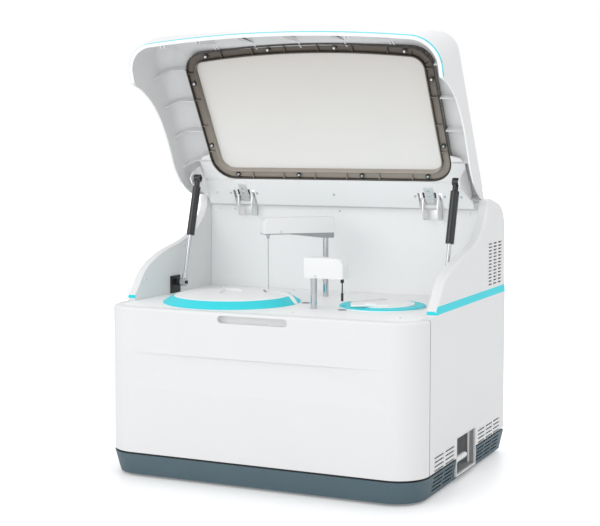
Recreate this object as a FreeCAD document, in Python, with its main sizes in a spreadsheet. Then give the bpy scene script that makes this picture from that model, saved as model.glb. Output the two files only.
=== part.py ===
"""A bench-top chemistry analyzer with its lid open, as a parametric FreeCAD document.

Millimetres, +Z up, X to the right seen from the front, the front towards -Y. The origin is the centre of
the footprint on the floor. The lid's own pieces are drawn about the hinge axis and then tilted open.
"""
import FreeCAD, Part
import math
import os
import re
from types import SimpleNamespace

import Sketcher

Vector = FreeCAD.Vector
doc = FreeCAD.newDocument("ChemistryAnalyzer")
sheet = doc.addObject("Spreadsheet::Sheet", "Sizes")
dim = SimpleNamespace()
nodes = []


def size(alias, value, note):
    """Write one driving dimension to the sheet and keep its value for the code below."""
    row = len(vars(dim)) + 1
    sheet.set("A%d" % row, note)
    sheet.set("B%d" % row, str(value))
    sheet.setAlias("B%d" % row, alias)
    setattr(dim, alias, value)


# Housing
size("body_width", 690, "width over the side panels")
size("body_depth", 550, "depth from front cover to side panel ends")
size("corner_radius", 65, "front corners in plan")
size("skin", 3, "wall of every moulded cover")
size("seam", 0.3, "gap between covers that lie side by side")
size("foot_height", 5, "rubber foot")
size("foot_radius", 16, "rubber foot")
size("foot_inset", 70, "foot centre from the outer faces")
size("base_top", 48, "upper edge of the base tray")
size("base_inset", 8, "draft of the base tray at its foot")
size("base_wall", 4, "wall of the base tray")
size("shadow_gap", 4, "gap between base tray and covers")
size("front_wrap", 68, "how far the front cover wraps round the sides")
size("deck_top", 351, "top of the deck")
size("deck_thickness", 4, "deck cover")
size("rim_width", 22, "top rim of the front cover")
size("edge_round", 5, "rounded upper edges")
size("scoop_top", 260, "crease above the front scoop")
size("scoop_bottom", 188, "where the front scoop runs out")
size("scoop_depth", 6, "deepest place of the front scoop")
size("scoop_span", 564, "width of the front scoop")
size("grip_width", 152, "finger recess in the front cover")
size("grip_height", 15, "finger recess in the front cover")
size("grip_depth", 13, "finger recess in the front cover")
size("grip_top", 345, "upper edge of the finger recess")
# Side walls of the work area
size("wall_thickness", 20, "side wall from outer to inner face")
size("wall_front", -177, "front end of the side walls, along Y")
size("stripe_low", 356, "lower edge of the coloured stripe")
size("stripe_height", 16, "coloured stripe")
size("stripe_depth", 1.5, "groove that holds the stripe")
size("back_wall_front", 158.6, "front face of the back wall, along Y")
size("back_wall_top", 538, "top of the back wall")
size("hood_front", 166, "front lip of the rear hood, along Y")
size("hood_drop", 30, "depth of the hood's front lip")
size("rear_inset", 4, "rear panel behind the side panel ends")
# Hinge and lid
size("hinge_y", 142, "lid hinge axis")
size("hinge_z", 563, "lid hinge axis")
size("lid_open", 60, "tilt of the open lid about the hinge")
size("lid_closed", 11, "slope of the closed lid")
size("lid_gap", 5, "gap between closed lid and side walls")
size("lid_rise", 8.2, "lid's outer face above the hinge axis")
size("ring_drop", 11.8, "inner face of the window ring below the hinge axis")
size("ring_rear", 49.5, "rear edge of the window ring, in front of the hinge axis")
size("ring_front", 377.5, "front edge of the window ring, in front of the hinge axis")
size("ring_half", 283, "half width of the window ring")
size("ring_width", 22, "band of the window ring")
size("ring_radius", 50, "outer corners of the window ring")
size("pane_thickness", 3, "window pane")
size("flange_tail", 17.4, "rear flange behind the hinge axis")
size("flange_half", 315, "half width of the rear flange")
size("lid_corner", 62, "front corners of the lid in plan")
size("lid_front", 274, "front of the closed lid, in front of the centre")
size("hinge_x", 222, "centre of each hinge from the middle")
size("hinge_width", 50, "outer width of a hinge bracket")
size("bracket_sheet", 3, "sheet of a hinge bracket")
size("pin_radius", 3, "hinge pin")
size("pin_play", 0.05, "radial play of every turning fit")
size("barrel_radius", 7, "hinge barrel")
# Gas struts
size("strut_x", 302.6, "struts from the middle")
size("strut_foot_y", -9.6, "lower strut pivot")
size("strut_foot_z", 375, "lower strut pivot")
size("strut_head_y", 57.6, "upper strut pivot with the lid open")
size("strut_head_z", 601.7, "upper strut pivot with the lid open")
size("strut_pin", 4, "radius of the strut pivots")
size("rod_radius", 4, "strut piston rod")
size("tube_radius", 9, "strut cylinder")
size("tube_length", 111, "strut cylinder")
size("tube_head", 19, "end fitting of the cylinder")
size("rod_fitting", 18, "end fitting of the rod")
size("eye_radius", 9, "eyes of the strut ends")
size("eye_width", 12, "eyes of the strut ends")
# Sample side
size("sample_x", -135, "sample disk centre")
size("sample_y", -100, "sample disk centre")
size("sample_hole", 141, "radius of the deck opening over the sample disk")
size("sample_cover", 144.5, "foot of the sample disk cover")
size("sample_top", 122, "top of the sample disk cover")
size("cover_height", 15, "height of the sample disk cover")
size("well_depth", 104, "depth of the sample well")
size("tube_ring", 90.3, "inner tube ring of the sample disk")
size("outer_tube_ring", 115, "outer tube ring of the sample disk")
# Reaction side
size("reaction_x", 186, "reaction disk centre")
size("reaction_y", -53, "reaction disk centre")
size("reaction_hole", 84, "radius of the deck opening over the reaction disk")
size("reaction_cover", 88, "foot of the reaction disk cover")
size("reaction_top", 66, "inner edge of the coloured ring")
size("reaction_well", 90, "inner radius of the reaction well")
size("cuvette_ring", 82, "cuvettes of the reaction disk")
size("cuvette_count", 40, "cuvettes")
# Arms
size("sample_post_x", 9.2, "sample arm post")
size("sample_post_y", 60.1, "sample arm post")
size("sample_post", 6, "radius of the sample arm post")
size("sample_reach", 127.8, "post to probe")
size("sample_turn", 139.5, "direction of the sample arm at rest, clockwise from +X")
size("sample_arm_low", 490, "underside of the sample arm cover")
size("sample_arm_high", 524, "top of the sample arm")
size("sample_arm_width", 34, "sample arm")
size("sample_boss_low", 479, "underside of the sample arm at its post")
size("probe_tip", 370, "sample probe tip, raised")
size("mixer_post_x", 72.2, "mixer post")
size("mixer_post_y", -140.7, "mixer post")
size("mixer_post", 6.5, "radius of the mixer post")
size("mixer_reach", 62, "post to paddle")
size("mixer_arm_low", 414, "underside of the mixer arm")
size("mixer_arm_high", 455, "top of the mixer arm")
size("mixer_arm_width", 34, "mixer arm")
size("paddle_tip", 369, "mixer paddle tip, raised")
size("arm_end", 17, "arm past its post")
# Inside
size("chassis_thickness", 6, "chassis plate under the deck")
size("frame_bar", 25, "square bars of the chassis frame")
size("lift_top", 275, "top of a raised lift carriage")
size("carriage_height", 25, "lift carriage")
size("guide_offset", 30, "guide rod behind its post")
size("guide_radius", 5, "guide rod")
size("motor_side", 56, "disk motors")
size("motor_height", 52, "disk motors")
size("spindle_radius", 6, "disk spindles")
size("fan_x", 190, "fan on the rear panel")
size("fan_z", 210, "fan on the rear panel")
size("fan_side", 80, "fan frame")
size("fan_depth", 25, "fan frame")
size("inlet_x", -230, "power inlet on the rear panel")
size("inlet_z", 105, "power inlet on the rear panel")
size("bay_front", -49, "connection bay along Y")
size("bay_rear", 76, "connection bay along Y")
size("bay_low", 13, "connection bay height")
size("bay_high", 94, "connection bay height")
size("bay_depth", 46, "connection bay")
# Vents
size("slot_height", 3.4, "ventilation slots")
size("slot_pitch", 8.3, "ventilation slots")
size("wall_slot_length", 24, "slots of the rear side vent")
size("wall_slot_pitch", 7.2, "slots of the rear side vent")
doc.recompute()

ALIASES = set(vars(dim))


def bound(text):
    """Turn an expression in plain alias names into one that reads the sheet."""
    return re.sub(r"[a-z][a-z_]*", lambda word: ("Sizes." if word.group(0) in ALIASES else "") + word.group(0), text)


def bind(thing, **texts):
    """Bind properties to the sheet. Two underscores stand for a dot."""
    for name, text in texts.items():
        thing.setExpression(name.replace("__", "."), bound(text))
    return thing


def keep(thing, label):
    """Give a finished sub-part its label, which also names its file."""
    thing.Label = label
    nodes.append(thing)
    return thing


def box(name, across, along, up):
    """A block between low and high expressions in X, Y and Z."""
    block = doc.addObject("Part::Box", name)
    return bind(block, Placement__Base__x=across[0], Placement__Base__y=along[0], Placement__Base__z=up[0],
                Length="(%s) - (%s)" % (across[1], across[0]), Width="(%s) - (%s)" % (along[1], along[0]),
                Height="(%s) - (%s)" % (up[1], up[0]))


TURNS = {"Z": FreeCAD.Rotation(), "X": FreeCAD.Rotation(Vector(0, 1, 0), 90),
         "Y": FreeCAD.Rotation(Vector(1, 0, 0), -90)}


def cylinder(name, start, axis, radius, length):
    """A cylinder from its start point along a row axis."""
    bar = doc.addObject("Part::Cylinder", name)
    bar.Placement = FreeCAD.Placement(Vector(), TURNS[axis])
    return bind(bar, Placement__Base__x=start[0], Placement__Base__y=start[1], Placement__Base__z=start[2],
                Radius=radius, Height=length)


def fuse(name, shapes):
    joined = doc.addObject("Part::MultiFuse", name)
    joined.Shapes = shapes
    joined.Refine = True
    return joined


def group(name, shapes):
    """Separate solids that share one node."""
    bundle = doc.addObject("Part::Compound", name)
    bundle.Links = shapes
    return bundle


def cut(name, base, *tools):
    result = doc.addObject("Part::Cut", name)
    result.Base = base
    result.Tool = tools[0] if len(tools) == 1 else fuse(name + "_tools", list(tools))
    return result


def common(name, base, tool):
    result = doc.addObject("Part::Common", name)
    result.Base = base
    result.Tool = tool
    return result


def edge_names(shape, test):
    return ["Edge%d" % (i + 1) for i, edge in enumerate(shape.Edges) if test(edge)]


def rounded(name, base, radius, test):
    """A Part fillet on the edges that pass the test."""
    doc.recompute()
    fillet = doc.addObject("Part::Fillet", name)
    fillet.Base = base
    fillet.Edges = [(int(edge[4:]), radius, radius) for edge in edge_names(base.Shape, test)]
    return fillet


def upright(edge):
    start, end = edge.Vertexes[0].Point, edge.Vertexes[-1].Point
    return len(edge.Vertexes) == 2 and abs(start.z - end.z) > 0.9 * edge.Length


def level(edge, height):
    box_ = edge.BoundBox
    return abs(box_.ZMin - height) < 0.01 and abs(box_.ZMax - height) < 0.01


def mirrored(name, source):
    """The same piece on the other side of the middle."""
    twin = doc.addObject("Part::Mirroring", name)
    twin.Source = source
    twin.Normal = Vector(1, 0, 0)
    return twin


def solid(name, shape):
    """A piece whose shape is made with Part's own functions."""
    piece = doc.addObject("Part::Feature", name)
    piece.Shape = shape
    return piece


def plane_of(body, role):
    return next(item for item in body.Origin.OriginFeatures if item.Role == role)


def new_sketch(body, name, role, offset="0"):
    sketch = body.newObject("Sketcher::SketchObject", name)
    sketch.AttachmentSupport = (plane_of(body, role), "")
    sketch.MapMode = "FlatFace"
    if offset != "0":
        bind(sketch, AttachmentOffset__Base__z=offset)
    return sketch


def pin_point(sketch, geometry, point, place):
    """Tie a sketch point to the origin by two expressions."""
    for kind, axis, text in (("DistanceX", -2, place[0]), ("DistanceY", -1, place[1])):
        if text == "0":
            sketch.addConstraint(Sketcher.Constraint("PointOnObject", geometry, point, axis))
        else:
            index = sketch.addConstraint(Sketcher.Constraint(kind, -1, 1, geometry, point, value_of(text)))
            sketch.setExpression("Constraints[%d]" % index, bound(text))


def value_of(text):
    """The number that an expression of the sheet stands for."""
    return float(sheet.evalExpression(bound(text)))


def outline(sketch, points):
    """A closed outline of straight lines through points given as expressions."""
    places = [Vector(value_of(x), value_of(y), 0) for x, y in points]
    for i, place in enumerate(places):
        sketch.addGeometry(Part.LineSegment(place, places[(i + 1) % len(places)]))
    for i in range(len(places)):
        sketch.addConstraint(Sketcher.Constraint("Coincident", i, 2, (i + 1) % len(places), 1))
    for i, point in enumerate(points):
        pin_point(sketch, i, 1, point)


def ring(sketch, centre, radius):
    """A circle whose centre and radius are expressions."""
    middle = Vector(value_of(centre[0]), value_of(centre[1]), 0)
    index = sketch.addGeometry(Part.Circle(middle, Vector(0, 0, 1), value_of(radius)))
    pin_point(sketch, index, 3, centre)
    radius_index = sketch.addConstraint(Sketcher.Constraint("Radius", index, value_of(radius)))
    sketch.setExpression("Constraints[%d]" % radius_index, bound(radius))


def new_body(name):
    return doc.addObject("PartDesign::Body", name)


def pad(body, sketch, length, backwards=False):
    feature = body.newObject("PartDesign::Pad", sketch.Name + "_pad")
    feature.Profile = sketch
    feature.Reversed = backwards
    bind(feature, Length=length)
    doc.recompute()
    return feature


def pocket(body, sketch, length, backwards=False):
    feature = body.newObject("PartDesign::Pocket", sketch.Name + "_pocket")
    feature.Profile = sketch
    feature.Reversed = backwards
    bind(feature, Length=length)
    doc.recompute()
    return feature


def body_fillet(body, feature, radius, test):
    fillet = body.newObject("PartDesign::Fillet", feature.Name + "_round")
    fillet.Base = (feature, edge_names(feature.Shape, test))
    bind(fillet, Radius=radius)
    doc.recompute()
    return fillet


def plate(name, role, points, low, high):
    """A body padded from one outline between two places along its plane's axis."""
    body = new_body(name)
    offset = "-(%s)" % high if role == "XZ_Plane" else low
    sketch = new_sketch(body, name + "_outline", role, offset)
    outline(sketch, points)
    pad(body, sketch, "(%s) - (%s)" % (high, low))
    return body


def turned(name, points, centre=("0", "0", "0")):
    """A body revolved about an upright axis from an outline of radius and height."""
    body = new_body(name)
    sketch = new_sketch(body, name + "_section", "XZ_Plane")
    outline(sketch, points)
    feature = body.newObject("PartDesign::Revolution", name + "_turn")
    feature.Profile = sketch
    feature.ReferenceAxis = (sketch, ["V_Axis"])
    feature.Angle = 360
    bind(body, Placement__Base__x=centre[0], Placement__Base__y=centre[1], Placement__Base__z=centre[2])
    doc.recompute()
    return body


def hole_ring(body, name, height, centre, radius, count):
    """A circle of equal holes cut down from a height, repeated about the body's upright axis."""
    sketch = new_sketch(body, name, "XY_Plane", height)
    ring(sketch, centre, radius)
    hole = pocket(body, sketch, "100")
    pattern = body.newObject("PartDesign::PolarPattern", name + "_pattern")
    pattern.Originals = [hole]
    pattern.Axis = (sketch, ["N_Axis"])
    pattern.Angle = 360
    bind(pattern, Occurrences=count)
    body.Tip = pattern
    doc.recompute()
    return pattern


HALF = "body_width / 2"
FRONT = "-body_depth / 2"
REAR = "body_depth / 2"
INNER = "body_width / 2 - wall_thickness"
DECK_LOW = "deck_top - deck_thickness"
COVER_LOW = "base_top + shadow_gap"
FRONT_SEAM = "-body_depth / 2 + front_wrap"

# Base tray: a drafted, open tray with ventilation slots in its right skirt
tray_body = new_body("TrayBody")
tray_outline = new_sketch(tray_body, "tray_outline", "XY_Plane", "base_top")
outline(tray_outline, [("-" + HALF, FRONT), (HALF, FRONT), (HALF, REAR), ("-" + HALF, REAR)])
tray_pad = pad(tray_body, tray_outline, "base_top - foot_height", backwards=True)
bind(tray_pad, TaperAngle="-atan(base_inset / (base_top - foot_height))")
doc.recompute()
body_fillet(tray_body, tray_pad, "corner_radius",
                         lambda edge: upright(edge) and edge.CenterOfMass.y < 0)
tray_core = new_body("TrayCore")
core_outline = new_sketch(tray_core, "core_outline", "XY_Plane", "base_top + base_wall")
core_x, core_y = HALF + " - base_wall", REAR + " - base_wall"
outline(core_outline, [("-(%s)" % core_x, "-(%s)" % core_y), (core_x, "-(%s)" % core_y), (core_x, core_y),
                       ("-(%s)" % core_x, core_y)])
core_pad = pad(tray_core, core_outline, "base_top - foot_height", backwards=True)
bind(core_pad, TaperAngle="-atan(base_inset / (base_top - foot_height))")
doc.recompute()
body_fillet(tray_core, core_pad, "corner_radius - base_wall",
            lambda edge: upright(edge) and edge.CenterOfMass.y < 0)


def slot_rows(name, columns, top, rows, pitch, height, across):
    """Rows of slots through a side panel, one column for each pair of Y places."""
    slots = []
    for column, (start, end) in enumerate(columns):
        for row in range(rows):
            high = "%s - %d * %s" % (top, row, pitch)
            slots.append(box("%s_%d_%d" % (name, column, row), across, (start, end),
                             ("%s - %s" % (high, height), high)))
    return slots


SIDE_VENTS = [("-181", "-126"), ("-117", "-63"), ("91", "137"), ("145", "191"), ("198", "243")]
THROUGH = ("%s - 14" % HALF, "%s + 1" % HALF)
tray_slots = slot_rows("TraySlot", SIDE_VENTS, "base_top - 6", 4, "slot_pitch", "slot_height", THROUGH)
bay_cut = box("BayCut", ("%s - 14" % HALF, "%s + 1" % HALF), ("bay_front - seam", "bay_rear + seam"),
              ("bay_low - seam", "bay_high + seam"))
keep(cut("BaseTray", tray_body, tray_core, *tray_slots, bay_cut), "base_tray")

feet = []
for side in (-1, 1):
    for end in (-1, 1):
        foot = doc.addObject("Part::Cone", "Foot_%d" % len(feet))
        bind(foot, Radius1="foot_radius - 2", Radius2="foot_radius", Height="foot_height",
             Placement__Base__x="%d * (%s - foot_inset)" % (side, HALF),
             Placement__Base__y="%d * (%s - foot_inset)" % (end, REAR))
        feet.append(foot)
keep(group("RubberFeet", feet), "rubber_feet")

# Front cover: wraps both corners, with a scooped face and a finger recess under its rounded rim
cover_body = new_body("CoverBody")
cover_outline = new_sketch(cover_body, "cover_outline", "XY_Plane", COVER_LOW)
outline(cover_outline, [("-" + HALF, FRONT), (HALF, FRONT), (HALF, FRONT_SEAM), ("-" + HALF, FRONT_SEAM)])
cover_pad = pad(cover_body, cover_outline, "deck_top - (%s)" % COVER_LOW)
cover_round = body_fillet(cover_body, cover_pad, "corner_radius",
                          lambda edge: upright(edge) and edge.CenterOfMass.y < -dim.body_depth / 2 + 1)
body_fillet(cover_body, cover_round, "edge_round",
            lambda edge: level(edge, dim.deck_top) and edge.CenterOfMass.y < -dim.body_depth / 2 + dim.front_wrap - 1)
shell_body = new_body("CoverHollow")
inner_face = "-(body_depth / 2 - skin)"
shell_outline = new_sketch(shell_body, "shell_outline", "XY_Plane", "%s - 1" % COVER_LOW)
outline(shell_outline, [("-(%s - skin)" % HALF, inner_face), ("%s - skin" % HALF, inner_face),
                        ("%s - skin" % HALF, FRONT_SEAM + " + 1"), ("-(%s - skin)" % HALF, FRONT_SEAM + " + 1")])
shell_pad = pad(shell_body, shell_outline, "%s - (%s) + 1" % (DECK_LOW, COVER_LOW))
body_fillet(shell_body, shell_pad, "corner_radius - skin",
            lambda edge: upright(edge) and edge.CenterOfMass.y < -dim.body_depth / 2 + 5)
mouth_body = new_body("DeckMouth")
mouth_outline = new_sketch(mouth_body, "mouth_outline", "XY_Plane", "deck_top - 20")
mouth_x, mouth_y = INNER, "-(body_depth / 2 - rim_width)"
outline(mouth_outline, [("-(%s)" % mouth_x, mouth_y), (mouth_x, mouth_y), (mouth_x, FRONT_SEAM + " + 1"),
                        ("-(%s)" % mouth_x, FRONT_SEAM + " + 1")])
mouth_pad = pad(mouth_body, mouth_outline, "21")
body_fillet(mouth_body, mouth_pad, "corner_radius - rim_width",
            lambda edge: upright(edge) and edge.CenterOfMass.y < -dim.body_depth / 2 + dim.rim_width + 1)
SCOOP_RADIUS = "((scoop_span / 2) ^ 2 + scoop_depth ^ 2) / (2 * scoop_depth)"
scoop_sweep = cylinder("ScoopSweep", ("0", "%s - (%s) + scoop_depth" % (FRONT, SCOOP_RADIUS), "scoop_bottom"),
                       "Z", SCOOP_RADIUS, "scoop_top - scoop_bottom")
scoop_wedge = plate("ScoopWedge", "YZ_Plane",
                    [(FRONT + " - 1", "scoop_bottom"), (FRONT, "scoop_bottom"),
                     (FRONT + " + 0.45 * scoop_depth", "scoop_bottom + 0.5 * (scoop_top - scoop_bottom)"),
                     (FRONT + " + 0.8 * scoop_depth", "scoop_top - 0.18 * (scoop_top - scoop_bottom)"),
                     (FRONT + " + scoop_depth", "scoop_top - 2"), (FRONT + " + 0.8 * scoop_depth", "scoop_top - 1"),
                     (FRONT, "scoop_top"), (FRONT + " - 1", "scoop_top")], "-scoop_span / 2", "scoop_span / 2")
scoop = common("Scoop", scoop_sweep, scoop_wedge)
scoop_back = box("ScoopBack", ("-scoop_span / 2", "scoop_span / 2"),
                 (FRONT + " + skin - 0.5", FRONT + " + skin + scoop_depth"), ("scoop_bottom - 4", "scoop_top + 4"))
grip_block = box("GripBlock", ("-grip_width / 2 - skin", "grip_width / 2 + skin"),
                 (FRONT + " + skin - 0.5", FRONT + " + grip_depth + skin"),
                 ("grip_top - grip_height - skin", "deck_top - deck_thickness + 0.5"))
grip_mid = box("GripMid", ("-grip_width / 2 + grip_height / 2", "grip_width / 2 - grip_height / 2"),
               (FRONT + " - 1", FRONT + " + grip_depth"), ("grip_top - grip_height", "grip_top"))
grip_ends = [cylinder("GripEnd_%d" % i, ("%d * (grip_width / 2 - grip_height / 2)" % side, FRONT + " - 1",
                                         "grip_top - grip_height / 2"), "Y", "grip_height / 2", "grip_depth + 1")
             for i, side in enumerate((-1, 1))]
front_shell = cut("FrontShell", cover_body, shell_body, mouth_body)
front_full = fuse("FrontFull", [front_shell, scoop_back, grip_block])
keep(cut("FrontCover", front_full, scoop, grip_mid, *grip_ends), "front_cover")

# Side panels: an outer skin with a flange on top that carries the side wall
PANEL_SECTION = [(HALF, COVER_LOW), (HALF, "deck_top"), (INNER, "deck_top"), (INNER, "deck_top - skin"),
                 (HALF + " - skin", "deck_top - skin"), (HALF + " - skin", COVER_LOW)]
right_body = plate("RightPanelBody", "XZ_Plane", PANEL_SECTION, FRONT_SEAM + " + seam", REAR)
left_body = plate("LeftPanelBody", "XZ_Plane", [("-(%s)" % x, z) for x, z in PANEL_SECTION],
                  FRONT_SEAM + " + seam", REAR)
panel_slots = slot_rows("PanelSlot", SIDE_VENTS, COVER_LOW + " + 29", 4, "slot_pitch", "slot_height", THROUGH)
bay_cut_panel = box("BayCutPanel", THROUGH, ("bay_front - seam", "bay_rear + seam"),
                    ("bay_low - seam", "bay_high + seam"))
keep(cut("RightPanel", right_body, *panel_slots, bay_cut_panel), "right_side_panel")
keep(left_body, "left_side_panel")

# Connection bay: a white frame in the panel and a dark five-sided box behind it
frame_outer = box("BayFrameOuter", (HALF + " - skin - 1", HALF), ("bay_front", "bay_rear"), ("bay_low", "bay_high"))
frame_inner = box("BayFrameInner", (HALF + " - skin - 2", HALF + " + 1"), ("bay_front + skin", "bay_rear - skin"),
                  ("bay_low + skin", "bay_high - skin"))
keep(cut("BayFrame", frame_outer, frame_inner), "bay_frame")
recess_outer = box("RecessOuter", (HALF + " - bay_depth - 2", HALF + " - skin - 1"), ("bay_front", "bay_rear"),
                   ("bay_low", "bay_high"))
recess_inner = box("RecessInner", (HALF + " - bay_depth", HALF + " - skin"), ("bay_front + skin", "bay_rear - skin"),
                   ("bay_low + skin", "bay_high - skin"))
recess_shell = cut("RecessShell", recess_outer, recess_inner)
ridge = cylinder("BayRidge", (HALF + " - bay_depth", "(bay_front + bay_rear) / 2 + 12", "bay_low + skin"), "Z",
                 "9", "bay_high - bay_low - 2 * skin")
ridge_trim = common("BayRidgeTrim", ridge, recess_inner)
keep(fuse("BayRecess", [recess_shell, ridge_trim]), "bay_recess")
FITTING_X, FITTING_Z = HALF + " - 24", "bay_low + 30"
fitting_parts = [cylinder("FittingFlange", (FITTING_X, "bay_front + skin", FITTING_Z), "Y", "9", "4"),
                 cylinder("FittingStem", (FITTING_X, "bay_front + skin + 3.5", FITTING_Z), "Y", "5", "24.5")]
for i in range(3):
    barb = doc.addObject("Part::Cone", "FittingBarb_%d" % i)
    barb.Placement = FreeCAD.Placement(Vector(), TURNS["Y"])
    bind(barb, Radius1="6.2", Radius2="5", Height="5", Placement__Base__x=FITTING_X,
         Placement__Base__y="bay_front + skin + %d" % (12 + 5 * i), Placement__Base__z=FITTING_Z)
    fitting_parts.append(barb)
fitting_bore = cylinder("FittingBore", (FITTING_X, "bay_front + skin + 6", FITTING_Z), "Y", "3", "30")
keep(cut("HoseFitting", fuse("FittingFull", fitting_parts), fitting_bore), "hose_fitting")

# Rear panel: a flat sheet with louvres, a slotted fan guard and the cut-out of the power inlet
REAR_FACE = REAR + " - rear_inset"
PANEL_X = HALF + " - skin - seam"
rear_sheet = box("RearSheet", ("-(%s)" % PANEL_X, PANEL_X), (REAR_FACE + " - skin", REAR_FACE),
                 (COVER_LOW, "deck_top - skin - seam"))
rear_cuts = []
for row in range(9):
    lift = (row - 4) * 8
    half_chord = math.sqrt((dim.fan_side / 2 - 3) ** 2 - lift ** 2)
    rear_cuts.append(box("FanSlot_%d" % row, ("fan_x - %.1f" % half_chord, "fan_x + %.1f" % half_chord),
                         (REAR_FACE + " - skin - 1", REAR_FACE + " + 1"),
                         ("fan_z + %d - 2.5" % lift, "fan_z + %d + 2.5" % lift)))
for column in range(3):
    for row in range(8):
        low = "-70 + %d" % (column * 62)
        rear_cuts.append(box("Louvre_%d_%d" % (column, row), (low, low + " + 50"),
                             (REAR_FACE + " - skin - 1", REAR_FACE + " + 1"),
                             ("90 + %d" % (row * 12), "90 + %d + slot_height" % (row * 12))))
INLET_BODY = [("inlet_x - 14", "inlet_x + 14"), ("inlet_z - 12.5", "inlet_z + 36")]
rear_cuts.append(box("InletCut", INLET_BODY[0], (REAR_FACE + " - skin - 1", REAR_FACE + " + 1"), INLET_BODY[1]))
keep(cut("RearPanel", rear_sheet, *rear_cuts), "rear_panel")

# Power inlet with a rocker switch above its socket
inlet_flange = box("InletFlange", ("inlet_x - 25", "inlet_x + 25"), (REAR_FACE, REAR_FACE + " + 2"),
                   ("inlet_z - 18", "inlet_z + 42"))
inlet_block = box("InletBlock", ("inlet_x - 13.8", "inlet_x + 13.8"), (REAR_FACE + " - 32", REAR_FACE + " + 0.5"),
                  ("inlet_z - 12.3", "inlet_z + 35.8"))
socket_cut = box("SocketCut", ("inlet_x - 12", "inlet_x + 12"), (REAR_FACE + " - 15", REAR_FACE + " + 3"),
                 ("inlet_z - 8.5", "inlet_z + 8.5"))
rocker_cut = box("RockerCut", ("inlet_x - 10.5", "inlet_x + 10.5"), (REAR_FACE + " - 12", REAR_FACE + " + 3"),
                 ("inlet_z + 16", "inlet_z + 32"))
inlet_shell = cut("InletShell", fuse("InletFull", [inlet_flange, inlet_block]), socket_cut, rocker_cut)
blades = [box("Blade_%d" % i, ("inlet_x + %d - 1" % x, "inlet_x + %d + 1" % x), (REAR_FACE + " - 15.5", REAR_FACE),
              ("inlet_z + %d - 3" % z, "inlet_z + %d + 3" % z)) for i, (x, z) in enumerate(((-7, -2), (0, 4), (7, -2)))]
keep(fuse("PowerInlet", [inlet_shell] + blades), "power_inlet")
ROCKER_Z = "inlet_z + 24"
rocker = plate("Rocker", "YZ_Plane",
               [(REAR_FACE + " - 8", ROCKER_Z + " - 6.2"), (REAR_FACE + " + 0.6", ROCKER_Z + " - 6.2"),
                (REAR_FACE + " - 0.6", ROCKER_Z), (REAR_FACE + " + 0.6", ROCKER_Z + " + 6.2"),
                (REAR_FACE + " - 8", ROCKER_Z + " + 6.2")], "inlet_x - 9.8", "inlet_x + 9.8")
keep(rocker, "power_rocker")

# Side walls: hollow shells that follow one curve from the deck up to the hinge
WALL_CURVE = [(-174, 366), (-158, 384), (-136, 409), (-100, 430), (-30, 452), (45, 468), (85, 484), (112, 503),
              (131, 523), (140, 543), (141, 554)]
CREST_CURVE = [(141, 554), (146, 563), (160, 565), (190, 559.5), (232, 549), (258, 531), (269, 503), (272.5, 450),
               (275, 372)]


def spline(points, offset=(0, 0)):
    curve = Part.BSplineCurve()
    curve.interpolate([Vector(0, y + offset[0], z + offset[1]) for y, z in points])
    return curve.toShape()


def shifted(points, distance):
    """Points moved to the right of their own direction of travel by a distance."""
    moved = []
    for i, (y, z) in enumerate(points):
        before, after = points[max(i - 1, 0)], points[min(i + 1, len(points) - 1)]
        run, rise = after[0] - before[0], after[1] - before[1]
        length = math.hypot(run, rise)
        moved.append((y + distance * rise / length, z - distance * run / length))
    return moved


def closed_face(curves, corners):
    """A face bounded by curves that follow each other, then straight lines through the corners."""
    start, end = curves[0].Vertexes[0].Point, curves[-1].Vertexes[-1].Point
    points = [end] + [Vector(0, y, z) for y, z in corners] + [start]
    lines = [Part.LineSegment(a, b).toShape() for a, b in zip(points, points[1:])]
    return Part.Face(Part.Wire(curves + lines))


wall_low = dim.deck_top
wall_face = closed_face([spline(WALL_CURVE), spline(CREST_CURVE)],
                        [(dim.body_depth / 2, wall_low), (dim.wall_front, wall_low), (dim.wall_front, 360)])
inner_x = dim.body_width / 2 - dim.wall_thickness
wall_face.translate(Vector(inner_x, 0, 0))
wall_block = wall_face.extrude(Vector(dim.wall_thickness, 0, 0))


def outer_rim(edge):
    """Edges of the wall's outer face that lie above the deck."""
    extent = edge.BoundBox
    return extent.XMin > dim.body_width / 2 - 0.01 and extent.ZMax > wall_low + 1 and extent.YMin < 250


wall_block = wall_block.makeFillet(dim.edge_round, [edge for edge in wall_block.Edges if outer_rim(edge)])
hollow_crest = shifted(CREST_CURVE, dim.skin)[2:]
hollow_face = closed_face([spline(shifted(WALL_CURVE, dim.skin))],
                          hollow_crest + [(dim.body_depth / 2 - dim.skin, wall_low - 1),
                                          (dim.wall_front + dim.skin, wall_low - 1)])
hollow_face.translate(Vector(inner_x + dim.skin, 0, 0))
wall_hollow = hollow_face.extrude(Vector(dim.wall_thickness - 2 * dim.skin, 0, 0))
band = Part.makeBox(dim.wall_thickness + 1, dim.body_depth, dim.stripe_height,
                    Vector(inner_x, dim.wall_front - 1, dim.stripe_low))
band_core = Part.makeBox(dim.wall_thickness - dim.stripe_depth, dim.body_depth + 2, dim.stripe_height,
                         Vector(inner_x, dim.wall_front + dim.stripe_depth, dim.stripe_low))
band = band.cut(band_core)
stripe_shape = wall_block.common(band)
wall_shape = wall_block.cut(band).cut(wall_hollow)
wall_slots = [Part.makeBox(8, dim.wall_slot_length, dim.slot_height,
                           Vector(dim.body_width / 2 - 6, 153 + 34 * column, 466 - row * dim.wall_slot_pitch))
              for column in range(3) for row in range(13)]
left_wall = solid("WallShell", wall_shape)
keep(solid("RightWall", wall_shape.cut(Part.makeCompound(wall_slots))), "right_wall_cover")
keep(mirrored("LeftWall", left_wall), "left_wall_cover")
right_stripe = keep(solid("RightStripe", stripe_shape), "right_stripe")
keep(mirrored("LeftStripe", right_stripe), "left_stripe")

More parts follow.
